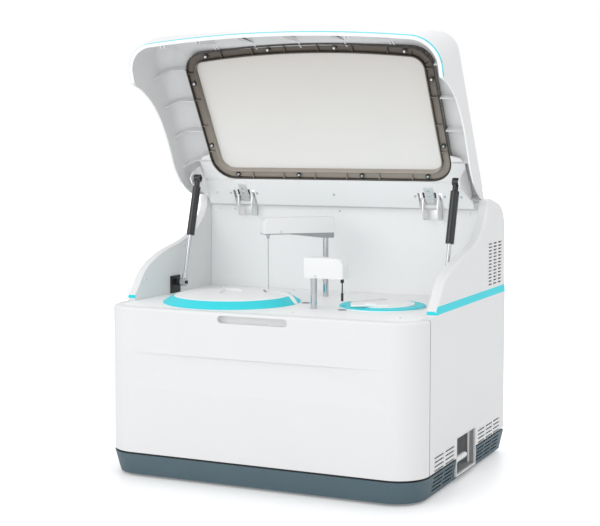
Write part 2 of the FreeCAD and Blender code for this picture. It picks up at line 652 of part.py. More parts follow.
# Rear hood: one bent shell between the side walls, and the back wall of the work area in front of it
HOOD_LINE = [(166, 562.5), (190, 557), (231, 547), (256, 529.5), (266.5, 502), (269.8, 450), (271, 372)]
hood_face = closed_face([spline(HOOD_LINE)],
                        [(dim.body_depth / 2 - dim.rear_inset, wall_low), (dim.hood_front, wall_low)])
hood_half = inner_x - dim.seam
hood_face.translate(Vector(-hood_half, 0, 0))
hood_block = hood_face.extrude(Vector(2 * hood_half, 0, 0))
lining_face = closed_face([spline([(166 + dim.skin, 562.5 - 1.4 * dim.skin)] + shifted(HOOD_LINE[1:], dim.skin))],
                          [(dim.body_depth / 2 - dim.rear_inset - dim.skin, wall_low - 1),
                           (dim.hood_front + dim.skin, wall_low - 1)])
lining_face.translate(Vector(-hood_half - 1, 0, 0))
hood_lining = lining_face.extrude(Vector(2 * hood_half + 2, 0, 0))
lip_cut = Part.makeBox(2 * hood_half + 2, 2 * dim.skin, 562.5 - dim.hood_drop - wall_low + 1,
                       Vector(-hood_half - 1, dim.hood_front - 1, wall_low - 1))
keep(solid("RearHood", hood_block.cut(hood_lining).cut(lip_cut)), "rear_hood")
WALL_BACK = "back_wall_front + skin"
keep(plate("BackWall", "YZ_Plane",
           [("back_wall_front", "deck_top"), (WALL_BACK, "deck_top"), (WALL_BACK, "back_wall_top - skin"),
            ("hood_front - seam", "back_wall_top - skin"), ("hood_front - seam", "back_wall_top"),
            ("back_wall_front", "back_wall_top")], "-(%s - seam)" % INNER, INNER + " - seam"), "back_wall")

# Deck cover: the white plate with the openings of both wells, both posts and the wash pots
WASH_X = "sample_post_x + sample_reach * cos(85)"
WASH_Y = "sample_post_y - sample_reach * sin(85)"
MIX_WASH = ("mixer_post_x + mixer_reach", "mixer_post_y")
deck_body = new_body("DeckBody")
deck_outline = new_sketch(deck_body, "deck_outline", "XY_Plane", DECK_LOW)
deck_x, deck_front = "%s - seam" % INNER, "-(body_depth / 2 - rim_width - seam)"
outline(deck_outline, [("-(%s)" % deck_x, deck_front), (deck_x, deck_front), (deck_x, "back_wall_front - seam"),
                       ("-(%s)" % deck_x, "back_wall_front - seam")])
deck_pad = pad(deck_body, deck_outline, "deck_thickness")
body_fillet(deck_body, deck_pad, "corner_radius - rim_width",
            lambda edge: upright(edge) and edge.CenterOfMass.y < 0)
deck_holes = new_sketch(deck_body, "deck_holes", "XY_Plane", "deck_top")
for centre, radius in ((("sample_x", "sample_y"), "sample_hole"), (("reaction_x", "reaction_y"), "reaction_hole"),
                       (("sample_post_x", "sample_post_y"), "sample_post + 0.6"),
                       (("mixer_post_x", "mixer_post_y"), "mixer_post + 0.6"),
                       ((WASH_X, WASH_Y), "7"), (MIX_WASH, "8")):
    ring(deck_holes, centre, radius)
pocket(deck_body, deck_holes, "deck_thickness + 1")
keep(deck_body, "deck_cover")

# Chassis: a thick plate under the deck on four posts and two rails, standing in the tray
CHASSIS_TOP = DECK_LOW
CHASSIS_LOW = DECK_LOW + " - chassis_thickness"
chassis_body = new_body("ChassisBody")
chassis_outline = new_sketch(chassis_body, "chassis_outline", "XY_Plane", CHASSIS_LOW)
outline(chassis_outline, [("-315", "-236"), ("315", "-236"), ("315", "150"), ("-315", "150")])
pad(chassis_body, chassis_outline, "chassis_thickness")
chassis_holes = new_sketch(chassis_body, "chassis_holes", "XY_Plane", CHASSIS_TOP)
for centre, radius in ((("sample_x", "sample_y"), "sample_hole - 3"),
                       (("reaction_x", "reaction_y"), "reaction_hole + 1.5"),
                       (("sample_post_x", "sample_post_y"), "sample_post + 2"),
                       (("mixer_post_x", "mixer_post_y"), "mixer_post + 2"),
                       ((WASH_X, WASH_Y), "6"), (MIX_WASH, "7")):
    ring(chassis_holes, centre, radius)
pocket(chassis_body, chassis_holes, "chassis_thickness + 1")
keep(chassis_body, "chassis_plate")
TRAY_FLOOR = "foot_height + base_wall"
frame_parts = []
for side in (-1, 1):
    left = "%d * 302.5 - frame_bar / 2" % side
    for end, y in enumerate((-222, 135)):
        post_y = "%d - frame_bar / 2" % y
        frame_parts.append(box("Post_%d_%d" % (side + 1, end), (left, left + " + frame_bar"),
                               (post_y, post_y + " + frame_bar"), (TRAY_FLOOR, CHASSIS_LOW)))
    frame_parts.append(box("Rail_%d" % (side + 1), (left, left + " + frame_bar"), ("-222", "135"),
                           ("120", "120 + frame_bar")))
frame_parts.append(box("CrossRail", ("-302.5", "302.5"), ("135 - frame_bar / 2", "135 + frame_bar / 2"),
                       ("120", "120 + frame_bar")))
keep(fuse("ChassisFrame", frame_parts), "chassis_frame")

# Sample well, its disk, and the lift-off cover with a coloured rim
WELL_TOP = DECK_LOW
WELL_FLOOR = DECK_LOW + " - well_depth"
SAMPLE_AT = ("sample_x", "sample_y", "0")
keep(turned("SampleWell", [("8", WELL_FLOOR), ("sample_hole - 4", WELL_FLOOR), ("sample_hole - 4", WELL_TOP),
                           ("sample_hole - 0.8", WELL_TOP), ("sample_hole - 0.8", WELL_TOP + " + 3"),
                           ("sample_hole - 7", WELL_TOP + " + 3"), ("sample_hole - 7", WELL_FLOOR + " + 3"),
                           ("8", WELL_FLOOR + " + 3")], SAMPLE_AT), "sample_well")
DISK_TOP = DECK_LOW + " - 10"
sample_disk = turned("SampleDisk", [("0", WELL_FLOOR + " - 10"), ("spindle_radius", WELL_FLOOR + " - 10"),
                                    ("spindle_radius", WELL_FLOOR + " + 10"), ("20", WELL_FLOOR + " + 10"),
                                    ("24", DISK_TOP + " - 24"), ("sample_hole - 13", DISK_TOP + " - 24"),
                                    ("sample_hole - 13", DISK_TOP + " - 20"), ("28", DISK_TOP + " - 20"),
                                    ("28", DISK_TOP), ("0", DISK_TOP)], SAMPLE_AT)
hole_ring(sample_disk, "inner_tubes", DISK_TOP, ("tube_ring", "0"), "6.5", "20")
hole_ring(sample_disk, "outer_tubes", DISK_TOP, ("outer_tube_ring", "0"), "6.5", "28")
keep(sample_disk, "sample_disk")
COVER_TOP = "deck_top + cover_height"
sample_lid = turned("SampleLid", [("0", COVER_TOP), ("sample_top - 1", COVER_TOP), ("sample_top", COVER_TOP + " - 1"),
                                  ("sample_top", COVER_TOP + " - 3"), ("sample_cover - 1.3", "deck_top"),
                                  ("sample_hole - 2.2", "deck_top"), ("sample_top - 1.5", COVER_TOP + " - 5"),
                                  ("0", COVER_TOP + " - 5")], SAMPLE_AT)
probe_hole = new_sketch(sample_lid, "probe_hole", "XY_Plane", COVER_TOP)
ring(probe_hole, ("sample_post_x - sample_x - sample_reach * cos(180 - sample_turn)",
                  "sample_post_y - sample_y - sample_reach * sin(180 - sample_turn)"), "5")
pocket(sample_lid, probe_hole, "8")
keep(sample_lid, "sample_disk_cover")
rim_body = turned("SampleRim", [("sample_top", COVER_TOP + " - 3"), ("sample_top", COVER_TOP + " - 1"),
                                ("sample_top + 0.6", COVER_TOP + " - 0.6"), ("sample_cover", "deck_top + 1.2"),
                                ("sample_cover", "deck_top"), ("sample_cover - 1.3", "deck_top")], SAMPLE_AT)
keep(rim_body, "sample_cover_rim")

# Reaction well, its disk with the cuvettes, and its cover
REACTION_AT = ("reaction_x", "reaction_y", "0")
REACTION_TOP = CHASSIS_LOW
REACTION_FLOOR = CHASSIS_LOW + " - 62"
keep(turned("ReactionWell", [("8", REACTION_FLOOR), ("reaction_well + 3", REACTION_FLOOR),
                             ("reaction_well + 3", REACTION_TOP + " - 3"), ("reaction_well + 6", REACTION_TOP + " - 3"),
                             ("reaction_well + 6", REACTION_TOP), ("reaction_well", REACTION_TOP),
                             ("reaction_well", REACTION_FLOOR + " + 3"), ("8", REACTION_FLOOR + " + 3")],
            REACTION_AT), "reaction_well")
RACK_TOP = CHASSIS_LOW + " - 4"
keep(turned("ReactionDisk", [("0", REACTION_FLOOR + " - 10"), ("spindle_radius", REACTION_FLOOR + " - 10"),
                             ("spindle_radius", REACTION_FLOOR + " + 8"), ("22", REACTION_FLOOR + " + 8"),
                             ("22", RACK_TOP + " - 12"), ("cuvette_ring - 6", RACK_TOP + " - 12"),
                             ("cuvette_ring - 6", RACK_TOP + " - 4"), ("22", RACK_TOP + " - 4"), ("22", RACK_TOP),
                             ("0", RACK_TOP)], REACTION_AT), "reaction_disk")
cuvette_solids = []
for i in range(int(dim.cuvette_count)):
    tube = Part.makeBox(10, 9, 34, Vector(dim.cuvette_ring - 6 + 0.1, -4.5, 0))
    tube = tube.cut(Part.makeBox(7.5, 6.5, 34, Vector(dim.cuvette_ring - 6 + 1.35, -3.25, 1.5)))
    tube.rotate(Vector(), Vector(0, 0, 1), (i + 0.355) * 360 / dim.cuvette_count)
    cuvette_solids.append(tube)
rack_top = dim.deck_top - dim.deck_thickness - dim.chassis_thickness - 4
cuvettes = solid("Cuvettes", Part.makeCompound(cuvette_solids))
cuvettes.Placement = FreeCAD.Placement(Vector(dim.reaction_x, dim.reaction_y, rack_top - 38), FreeCAD.Rotation())
keep(cuvettes, "cuvettes")
reaction_lid = turned("ReactionLid", [("0", "deck_top + 7"), ("reaction_top - 1", "deck_top + 7"),
                                      ("reaction_top", "deck_top + 6"), ("reaction_top", "deck_top + 3"),
                                      ("reaction_cover", "deck_top + 1.5"), ("reaction_cover", "deck_top"),
                                      ("reaction_hole - 4", "deck_top"), ("reaction_top - 4", "deck_top + 2"),
                                      ("0", "deck_top + 3")], REACTION_AT)
dip_holes = new_sketch(reaction_lid, "dip_holes", "XY_Plane", "deck_top + 7")
REACH_BEARING = "32.5"
MIX_BEARING = "35.5"
ring(dip_holes, ("sample_post_x - reaction_x + sample_reach * cos(%s)" % REACH_BEARING,
                 "sample_post_y - reaction_y - sample_reach * sin(%s)" % REACH_BEARING), "4")
ring(dip_holes, ("mixer_post_x - reaction_x + mixer_reach * cos(%s)" % MIX_BEARING,
                 "mixer_post_y - reaction_y + mixer_reach * sin(%s)" % MIX_BEARING), "5")
pocket(reaction_lid, dip_holes, "9")
keep(reaction_lid, "reaction_disk_cover")
ring_body = turned("ReactionRing", [("reaction_top", "deck_top + 3"), ("reaction_cover", "deck_top + 1.5"),
                                    ("reaction_cover", "deck_top + 3"), ("reaction_cover - 1", "deck_top + 3.8"),
                                    ("reaction_top", "deck_top + 5")], REACTION_AT)
ring_holes = new_sketch(ring_body, "ring_holes", "XY_Plane", "deck_top + 7")
ring(ring_holes, ("sample_post_x - reaction_x + sample_reach * cos(%s)" % REACH_BEARING,
                  "sample_post_y - reaction_y - sample_reach * sin(%s)" % REACH_BEARING), "4")
ring(ring_holes, ("mixer_post_x - reaction_x + mixer_reach * cos(%s)" % MIX_BEARING,
                  "mixer_post_y - reaction_y + mixer_reach * sin(%s)" % MIX_BEARING), "5")
pocket(ring_body, ring_holes, "9")
keep(ring_body, "reaction_cover_ring")
handle_bar = box("HandleBar", ("reaction_x - 40", "reaction_x + 40"), ("reaction_y - 58", "reaction_y - 44"),
                 ("deck_top + 7", "deck_top + 11"))
handle_hub = box("HandleHub", ("reaction_x - 11", "reaction_x + 11"), ("reaction_y - 64", "reaction_y - 40"),
                 ("deck_top + 7", "deck_top + 16"))
keep(rounded("Handle", fuse("HandleFull", [handle_bar, handle_hub]), 1.9,
             lambda edge: upright(edge) and (abs(edge.CenterOfMass.x - dim.reaction_x) > 39
                                             or abs(edge.CenterOfMass.y - dim.reaction_y + 52) > 11)),
     "reaction_cover_handle")

# Wash pots hang in the deck under the sweep of the probe and of the paddle
pots = []
for name, at, bore in (("ProbePot", (WASH_X, WASH_Y), "4"), ("MixerPot", MIX_WASH, "4.2")):
    outer = bore + " + 1.6"
    pots.append(turned(name, [(bore, "deck_top - 55"), (bore, "deck_top + 1.5"), (outer + " + 3", "deck_top + 1.5"),
                              (outer + " + 3", "deck_top"), (outer + " - 0.3", "deck_top"),
                              (outer + " - 0.3", "deck_top - 60"), ("0", "deck_top - 60"), ("0", "deck_top - 55")],
                       (at[0], at[1], "0")))
keep(group("WashPots", pots), "wash_pots")

# Disk motors hang under the wells
motors = []
for name, at, top in (("SampleMotor", SAMPLE_AT, WELL_FLOOR), ("ReactionMotor", REACTION_AT, REACTION_FLOOR)):
    half = "motor_side / 2"
    case = box(name + "Case", ("%s - %s" % (at[0], half), "%s + %s" % (at[0], half)),
               ("%s - %s" % (at[1], half), "%s + %s" % (at[1], half)), ("%s - motor_height" % top, top))
    bearing = cylinder(name + "Bearing", (at[0], at[1], "%s - 12" % top), "Z", "spindle_radius + pin_play", "13")
    motors.append(cut(name, rounded(name + "Round", case, 4, upright), bearing))
keep(group("DiskMotors", motors), "disk_motors")

# Arm lifts: a bracket under the chassis with a guide rod, and a carriage that slides on it
LIFT_LOW = "lift_top - carriage_height"


def lift(name, post_x, post_y, post_radius, side):
    """A bracket with its guide rod, and the carriage. side is +1 where the bracket stands behind the post."""
    guide_y = "%s + %d * guide_offset" % (post_y, side)
    near, far = "%s - %d * 9" % (guide_y, side), "%s + %d * 16" % (guide_y, side)
    back = "%s + %d * 10" % (guide_y, side)
    bracket = plate(name + "Bracket", "YZ_Plane",
                    [(near, "180"), (far, "180"), (far, CHASSIS_LOW), (near, CHASSIS_LOW),
                     (near, CHASSIS_LOW + " - 6"), (back, CHASSIS_LOW + " - 6"), (back, "186"), (near, "186")],
                    post_x + " - 25", post_x + " + 25")
    guide = cylinder(name + "Guide", (post_x, guide_y, "184"), "Z", "guide_radius", CHASSIS_LOW + " - 4 - 184")
    tower = fuse(name + "Tower", [bracket, guide])
    low_y, high_y = ("%s - 20" % post_y, "%s + 9" % guide_y) if side > 0 else ("%s - 9" % guide_y, "%s + 20" % post_y)
    block = box(name + "Block", (post_x + " - 22", post_x + " + 22"), (low_y, high_y), (LIFT_LOW, "lift_top"))
    bores = [cylinder(name + "GuideBore", (post_x, guide_y, LIFT_LOW + " - 1"), "Z", "guide_radius + pin_play",
                      "carriage_height + 2"),
             cylinder(name + "PostBore", (post_x, post_y, LIFT_LOW + " - 1"), "Z", post_radius + " + pin_play",
                      "carriage_height + 2")]
    carriage = cut(name + "Carriage", rounded(name + "BlockRound", block, 4, upright), *bores)
    return tower, carriage


sample_tower, sample_carriage = lift("SampleLift", "sample_post_x", "sample_post_y", "sample_post", 1)
mixer_tower, mixer_carriage = lift("MixerLift", "mixer_post_x", "mixer_post_y", "mixer_post", -1)
keep(group("LiftTowers", [sample_tower, mixer_tower]), "lift_towers")
keep(sample_carriage, "sample_lift_carriage")
keep(mixer_carriage, "mixer_lift_carriage")


def post(name, at, radius, top):
    """An arm post with a pulley that rests on the lift carriage."""
    return turned(name, [("0", LIFT_LOW + " - 16"), (radius, LIFT_LOW + " - 16"), (radius, "lift_top + seam"),
                         ("15", "lift_top + seam"), ("15", "lift_top + 10"), (radius, "lift_top + 10"), (radius, top),
                         ("0", top)], at)


keep(post("SampleShaft", ("sample_post_x", "sample_post_y", "0"), "sample_post", "sample_boss_low"),
     "sample_arm_shaft")
keep(post("MixerShaft", ("mixer_post_x", "mixer_post_y", "0"), "mixer_post", "mixer_arm_low"), "mixer_arm_shaft")

# Sample arm, drawn along +X about its post and then turned to its place at rest
arm_half, arm_far = "sample_arm_width / 2", "sample_reach + 16"
SAMPLE_TURN = FreeCAD.Rotation(Vector(0, 0, 1), 360 - dim.sample_turn)


def on_sample_post(piece):
    piece.Placement = FreeCAD.Placement(Vector(dim.sample_post_x, dim.sample_post_y, 0), SAMPLE_TURN)
    return bind(piece, Placement__Base__x="sample_post_x", Placement__Base__y="sample_post_y",
                Placement__Rotation__Angle="360 - sample_turn")


arm_cover = plate("SampleArmCover", "XZ_Plane",
                  [("-arm_end", "sample_arm_low"), ("-arm_end", "sample_arm_high"), (arm_far + " - 20", "sample_arm_high - 2"),
                   (arm_far + " - 5", "sample_arm_high - 8"), (arm_far, "sample_arm_high - 20"),
                   (arm_far, "sample_arm_low")], "-" + arm_half, arm_half)
body_fillet(arm_cover, arm_cover.Tip, "4", lambda edge: edge.CenterOfMass.z > dim.sample_arm_low + 1
            or upright(edge))
cover_hollow = new_sketch(arm_cover, "arm_hollow", "XY_Plane", "sample_arm_low")
outline(cover_hollow, [("-arm_end + 2.5", "-%s + 2.5" % arm_half), (arm_far + " - 9", "-%s + 2.5" % arm_half),
                       (arm_far + " - 9", arm_half + " - 2.5"), ("-arm_end + 2.5", arm_half + " - 2.5")])
pocket(arm_cover, cover_hollow, "sample_arm_high - sample_arm_low - 12", backwards=True)
keep(on_sample_post(arm_cover), "sample_arm_cover")
arm_base = plate("SampleArmBase", "XZ_Plane",
                 [("-arm_end + 1", "sample_boss_low"), ("10", "sample_boss_low"), ("sample_reach * 0.66", "sample_arm_low - 2"),
                  (arm_far + " - 3", "sample_arm_low - 2"), (arm_far + " - 3", "sample_arm_low"),
                  ("-arm_end + 1", "sample_arm_low")], "-%s + 1" % arm_half, arm_half + " - 1")
body_fillet(arm_base, arm_base.Tip, "8", lambda edge: upright(edge) and edge.CenterOfMass.x < 0)
keep(on_sample_post(arm_base), "sample_arm_base")
probe = turned("Probe", [("0", "probe_tip"), ("0.5", "probe_tip"), ("1", "probe_tip + 6"), ("1", "sample_arm_low - 12"),
                         ("2", "sample_arm_low - 12"), ("4.5", "sample_arm_low - 4"), ("4.5", "sample_arm_low - 2"),
                         ("0", "sample_arm_low - 2")],
               ("sample_post_x - sample_reach * cos(180 - sample_turn)",
                "sample_post_y - sample_reach * sin(180 - sample_turn)", "0"))
keep(probe, "sample_probe")

# Mixer arm points along +X at rest
mixer_end = "mixer_reach + 8"
mixer_arm = plate("MixerArmCover", "XZ_Plane",
                  [("-arm_end - 17", "mixer_arm_low"), ("-arm_end - 16", "mixer_arm_high"), (mixer_end + " - 16", "mixer_arm_high"),
                   (mixer_end + " - 4", "mixer_arm_high - 6"), (mixer_end, "mixer_arm_high - 20"),
                   (mixer_end, "mixer_arm_low")], "-mixer_arm_width / 2", "mixer_arm_width / 2")
body_fillet(mixer_arm, mixer_arm.Tip, "4", lambda edge: edge.CenterOfMass.z > dim.mixer_arm_low + 1 or upright(edge))
bind(mixer_arm, Placement__Base__x="mixer_post_x", Placement__Base__y="mixer_post_y")
keep(mixer_arm, "mixer_arm_cover")
MIXER_LOW = "mixer_arm_low - seam"
paddle_stem = turned("PaddleStem", [("0", "paddle_tip + 14"), ("1.3", "paddle_tip + 14"), ("1.3", MIXER_LOW + " - 8"),
                                    ("3.5", MIXER_LOW + " - 8"), ("3.5", MIXER_LOW), ("0", MIXER_LOW)],
                     (MIX_WASH[0], MIX_WASH[1], "0"))
paddle_blade = box("PaddleBlade", (MIX_WASH[0] + " - 2.5", MIX_WASH[0] + " + 2.5"),
                   (MIX_WASH[1] + " - 0.6", MIX_WASH[1] + " + 0.6"), ("paddle_tip", "paddle_tip + 16"))
keep(fuse("MixerPaddle", [paddle_stem, paddle_blade]), "mixer_paddle")

# Power supply on the tray floor, with a row of slots
supply_case = box("SupplyCase", ("-280", "-150"), ("-60", "100"), (TRAY_FLOOR, TRAY_FLOOR + " + 60"))
supply_slots = [box("SupplySlot_%d" % i, ("-260 + %d" % (i * 14), "-252 + %d" % (i * 14)), ("-40", "80"),
                    (TRAY_FLOOR + " + 57", TRAY_FLOOR + " + 61")) for i in range(8)]
keep(cut("PowerSupply", supply_case, *supply_slots), "power_supply")

# Fan: a square frame on the rear panel and a seven-blade rotor
FAN_REAR = REAR_FACE + " - skin"
FAN_FRONT = FAN_REAR + " - fan_depth"
fan_case = box("FanCase", ("fan_x - fan_side / 2", "fan_x + fan_side / 2"), (FAN_FRONT, FAN_REAR),
               ("fan_z - fan_side / 2", "fan_z + fan_side / 2"))
fan_bore = cylinder("FanBore", ("fan_x", FAN_FRONT + " - 1", "fan_z"), "Y", "fan_side / 2 - 2.5", "fan_depth + 2")
fan_bars = [box("FanBarA", ("fan_x - fan_side / 2 + 1", "fan_x + fan_side / 2 - 1"), (FAN_REAR + " - 4", FAN_REAR),
                ("fan_z - 2", "fan_z + 2")),
            box("FanBarB", ("fan_x - 2", "fan_x + 2"), (FAN_REAR + " - 4", FAN_REAR),
                ("fan_z - fan_side / 2 + 1", "fan_z + fan_side / 2 - 1")),
            cylinder("FanHub", ("fan_x", FAN_REAR + " - 4", "fan_z"), "Y", "15", "4"),
            cylinder("FanAxle", ("fan_x", FAN_REAR + " - 16", "fan_z"), "Y", "2", "14")]
fan_shell = cut("FanShell", fan_case, fan_bore)
keep(fuse("FanFrame", [fan_shell] + fan_bars), "fan_frame")
rotor_hub = Part.makeCylinder(15, 14).cut(Part.makeCylinder(2 + dim.pin_play, 12))
rotor_shape = rotor_hub
for i in range(7):
    blade = Part.makeBox(dim.fan_side / 2 - 2.5 - 1 - 13, 1.5, 14, Vector(13, -0.75, 0))
    blade.rotate(Vector(24, 0, 7), Vector(1, 0, 0), 35)
    blade.rotate(Vector(), Vector(0, 0, 1), i * 360 / 7)
    rotor_shape = rotor_shape.fuse(blade)
rotor_shape = rotor_shape.common(Part.makeCylinder(dim.fan_side / 2 - 3.5, 14))
rotor = solid("FanRotor", rotor_shape)
fan_rear = dim.body_depth / 2 - dim.rear_inset - dim.skin
rotor.Placement = FreeCAD.Placement(Vector(dim.fan_x, fan_rear - 4.4, dim.fan_z), FreeCAD.Rotation(Vector(1, 0, 0), 90))
keep(rotor, "fan_rotor")

# Hinge brackets on the back wall, with a pin through both cheeks
brackets, pins = [], []
for side in (-1, 1):
    centre = "%d * hinge_x" % side
    low_x, high_x = centre + " - hinge_width / 2", centre + " + hinge_width / 2"
    cheek_points = [("back_wall_front", "hinge_z - 47"), ("back_wall_front", "back_wall_top"),
                    ("hinge_y + 10", "hinge_z"), ("hinge_y + 7", "hinge_z + 8"), ("hinge_y - 7", "hinge_z + 8"),
                    ("hinge_y - 11", "hinge_z"), ("hinge_y - 14", "hinge_z - 18"), ("hinge_y - 14", "hinge_z - 36"),
                    ("hinge_y - 4", "hinge_z - 47")]
    cheeks = [plate("Cheek_%d_%d" % (side + 1, i), "YZ_Plane", cheek_points, low, high)
              for i, (low, high) in enumerate(((low_x, low_x + " + bracket_sheet"),
                                               (high_x + " - bracket_sheet", high_x)))]
    seat = box("BracketSeat_%d" % (side + 1), (low_x, high_x), ("back_wall_front - bracket_sheet", "back_wall_front"),
               ("hinge_z - 47", "back_wall_top"))
    eye = cylinder("BracketEye_%d" % (side + 1), (low_x + " - 1", "hinge_y", "hinge_z"), "X", "pin_radius",
                   "hinge_width + 2")
    brackets.append(cut("Bracket_%d" % (side + 1), fuse("BracketFull_%d" % (side + 1), cheeks + [seat]), eye))
    pins.append(cylinder("Pin_%d" % (side + 1), (low_x + " - 1.5", "hinge_y", "hinge_z"), "X", "pin_radius",
                         "hinge_width + 3"))
keep(group("HingeBrackets", brackets), "hinge_brackets")
keep(group("HingePins", pins), "hinge_pins")

# Lid shell, drawn with the hinge axis at the origin and the window level
slope = math.radians(dim.lid_closed)


def to_lid(y, z):
    """A place of the closed lid, seen from the hinge axis with the window level."""
    dy, dz = y - dim.hinge_y, z - dim.hinge_z
    return (dy * math.cos(slope) + dz * math.sin(slope), -dy * math.sin(slope) + dz * math.cos(slope))


LID_CREST = [(-274, 366), (-273.5, 400), (-268, 440), (-250, 474), (-215, 497)]
edge_line = [to_lid(y, z) for y, z in shifted(WALL_CURVE[1:-1], -dim.lid_gap)]
front_low = to_lid(-dim.lid_front, 366)
corner_low = to_lid(-186, 367.5)
crest = [to_lid(y, z) for y, z in LID_CREST]
top_front = crest[-1][0] - 4


def lid_section(inset):
    """The side outline of the lid, or of its hollow when inset by the wall."""
    lift_ = dim.lid_rise - inset
    rear = 11 - inset
    tail = (edge_line[-1][0] - inset, edge_line[-1][1])
    nose = [(y + inset, z) for y, z in crest[:2]] + shifted(crest[2:-1], inset)
    nose = nose + [(top_front + 12, lift_)]
    drop = 20 if inset else 0
    low = [(y, z - drop) for y, z in edge_line]
    bottom = spline([(corner_low[0], corner_low[1] - drop)] + low[:-1] + [(tail[0], tail[1] - drop)])
    lines = [Vector(0, tail[0], tail[1] - drop), Vector(0, tail[0], lift_ - 9), Vector(0, rear, lift_ - 9),
             Vector(0, rear, lift_ - 4), Vector(0, -45, lift_), Vector(0, top_front + 12, lift_)]
    upper = [Part.LineSegment(a, b).toShape() for a, b in zip(lines, lines[1:])]
    front = spline(list(reversed(nose)))
    chin = [Vector(0, nose[0][0], nose[0][1]), Vector(0, nose[0][0], front_low[1] - drop),
            Vector(0, corner_low[0], corner_low[1] - drop)]
    chin = [point for i, point in enumerate(chin) if i == 0 or point.distanceToPoint(chin[i - 1]) > 1e-6]
    lower = [Part.LineSegment(a, b).toShape() for a, b in zip(chin, chin[1:])]
    return Part.Face(Part.Wire([bottom] + upper + [front] + lower))


def lid_block(inset, shoulder):
    """The section drawn across the lid, cut to the rounded plan and with rolled upper side edges."""
    half = dim.body_width / 2 - inset
    face = lid_section(inset)
    face.translate(Vector(-half, 0, 0))
    block = face.extrude(Vector(2 * half, 0, 0))
    front = front_low[0] + inset
    radius = dim.lid_corner - inset
    plan = Part.makeBox(2 * half, 500, 400, Vector(-half, front, -300))
    corners = [edge for edge in plan.Edges if upright(edge) and edge.CenterOfMass.y < front + 1]
    block = block.common(plan.makeFillet(radius, corners))
    roll = Part.makeBox(2 * half, 700, 400, Vector(-half, -600, dim.lid_rise - inset - 400))
    rolled = [edge for edge in roll.Edges if edge.BoundBox.YLength > 600 and edge.CenterOfMass.z > -300]
    return block.common(roll.makeFillet(shoulder, rolled))


def framed(width, rear, front, radius, low, high):
    """A block with rounded corners in plan: half width, rear and front distance from the hinge axis."""
    block = Part.makeBox(2 * width, front - rear, high - low, Vector(-width, -front, low))
    return block.makeFillet(radius, [edge for edge in block.Edges if upright(edge)])


def place_on_lid(piece):
    piece.Placement = FreeCAD.Placement(Vector(0, dim.hinge_y, dim.hinge_z),
                                        FreeCAD.Rotation(Vector(1, 0, 0), -dim.lid_open))
    return piece


lid_outer = lid_block(0, 36)
lid_inner = lid_block(dim.skin, 33)
window = framed(dim.ring_half - 8, dim.ring_rear + 8, dim.ring_front - 8, dim.ring_radius - 8, -60, 60)
lid_shape = lid_outer.cut(lid_inner).cut(window)
wall_clear = Part.makeBox(2 * dim.body_width, 60, 200, Vector(-dim.body_width, 11.5, -195))
lid_shape = lid_shape.cut(wall_clear)
ribs = []
for i in range(4):
    rib_y = -330 + i * 78
    for side in (-1, 1):
        rib = Part.makeBox(46, 2.5, 46, Vector(-23, rib_y, dim.lid_rise - 44))
        rib.translate(Vector(side * (dim.body_width / 2 - 26), 0, 0))
        notch = Part.makeCylinder(40, 4, Vector(side * (dim.body_width / 2 - 52), rib_y - 1, dim.lid_rise - 54),
                                  Vector(0, 1, 0))
        ribs.append(rib.cut(notch).common(lid_inner))
for i in range(5):
    rib = Part.makeBox(2.5, 44, 44, Vector(-192 + i * 95, -dim.ring_front - 1 - 44, dim.lid_rise - 56))
    ribs.append(rib.common(lid_inner))
lid_shape = lid_shape.fuse(ribs).removeSplitter()
stripe_zone = Part.makeBox(2 * dim.body_width, 90, 7, Vector(-dim.body_width, front_low[0] - 2, front_low[1] + 1))
stripe_core = lid_block(1, 35)
lid_stripe = lid_outer.cut(stripe_core).common(stripe_zone)
lid_shape = lid_shape.cut(lid_stripe)
hinge_notches = []
for side in (-1, 1):
    hinge_notches.append(Part.makeBox(dim.hinge_width + 8, 60, 40, Vector(side * dim.hinge_x - dim.hinge_width / 2 - 4, -13, -25)))
lid_shape = lid_shape.cut(Part.makeCompound(hinge_notches))
rear_clear = [Part.makeBox(2 * dim.flange_half + 2, 70, 100, Vector(-dim.flange_half - 1, -49, dim.lid_rise - 9.5 - 100))]
end_walls = []
for side in (-1, 1):
    start = inner_x - 2 if side > 0 else -inner_x - 40
    rear_clear.append(Part.makeBox(42, 60, 100, Vector(start, -8, -80)))
    start = inner_x - 5 if side > 0 else -inner_x - 20
    end_walls.append(Part.makeBox(25, dim.skin, 100, Vector(start, -8 - dim.skin, -80)).common(lid_outer))
lid_shape = lid_shape.cut(Part.makeCompound(rear_clear)).fuse(end_walls)
keep(place_on_lid(solid("LidShell", lid_shape)), "lid_shell")

keep(place_on_lid(solid("LidStripe", lid_stripe)), "lid_stripe")

# Window: a clear pane under the shell and a smoked channel ring with cross ribs that clamps it
pane_top = dim.lid_rise - dim.skin
pane_low = pane_top - dim.pane_thickness
pane = framed(dim.ring_half - 1, dim.ring_rear + 1, dim.ring_front - 1, dim.ring_radius - 1, pane_low, pane_top)
pane = pane.common(lid_block(dim.skin, 33))
keep(place_on_lid(solid("WindowPane", pane)), "window_pane")
ring_low = -dim.ring_drop
ring_block = framed(dim.ring_half, dim.ring_rear, dim.ring_front, dim.ring_radius, ring_low, pane_low)
ring_open = framed(dim.ring_half - dim.ring_width, dim.ring_rear + dim.ring_width, dim.ring_front - dim.ring_width,
                   dim.ring_radius - dim.ring_width, ring_low - 1, pane_low + 1)
groove_out = framed(dim.ring_half - 3, dim.ring_rear + 3, dim.ring_front - 3, dim.ring_radius - 3,
                    ring_low + 3, pane_low + 1)
groove_in = framed(dim.ring_half - dim.ring_width + 3, dim.ring_rear + dim.ring_width - 3,
                   dim.ring_front - dim.ring_width + 3, dim.ring_radius - dim.ring_width + 3, ring_low + 2, pane_low + 2)
ring_shape = ring_block.cut(ring_open).cut(groove_out.cut(groove_in))
keep(place_on_lid(solid("WindowRing", ring_shape.common(lid_block(dim.skin, 33)))), "window_ring")

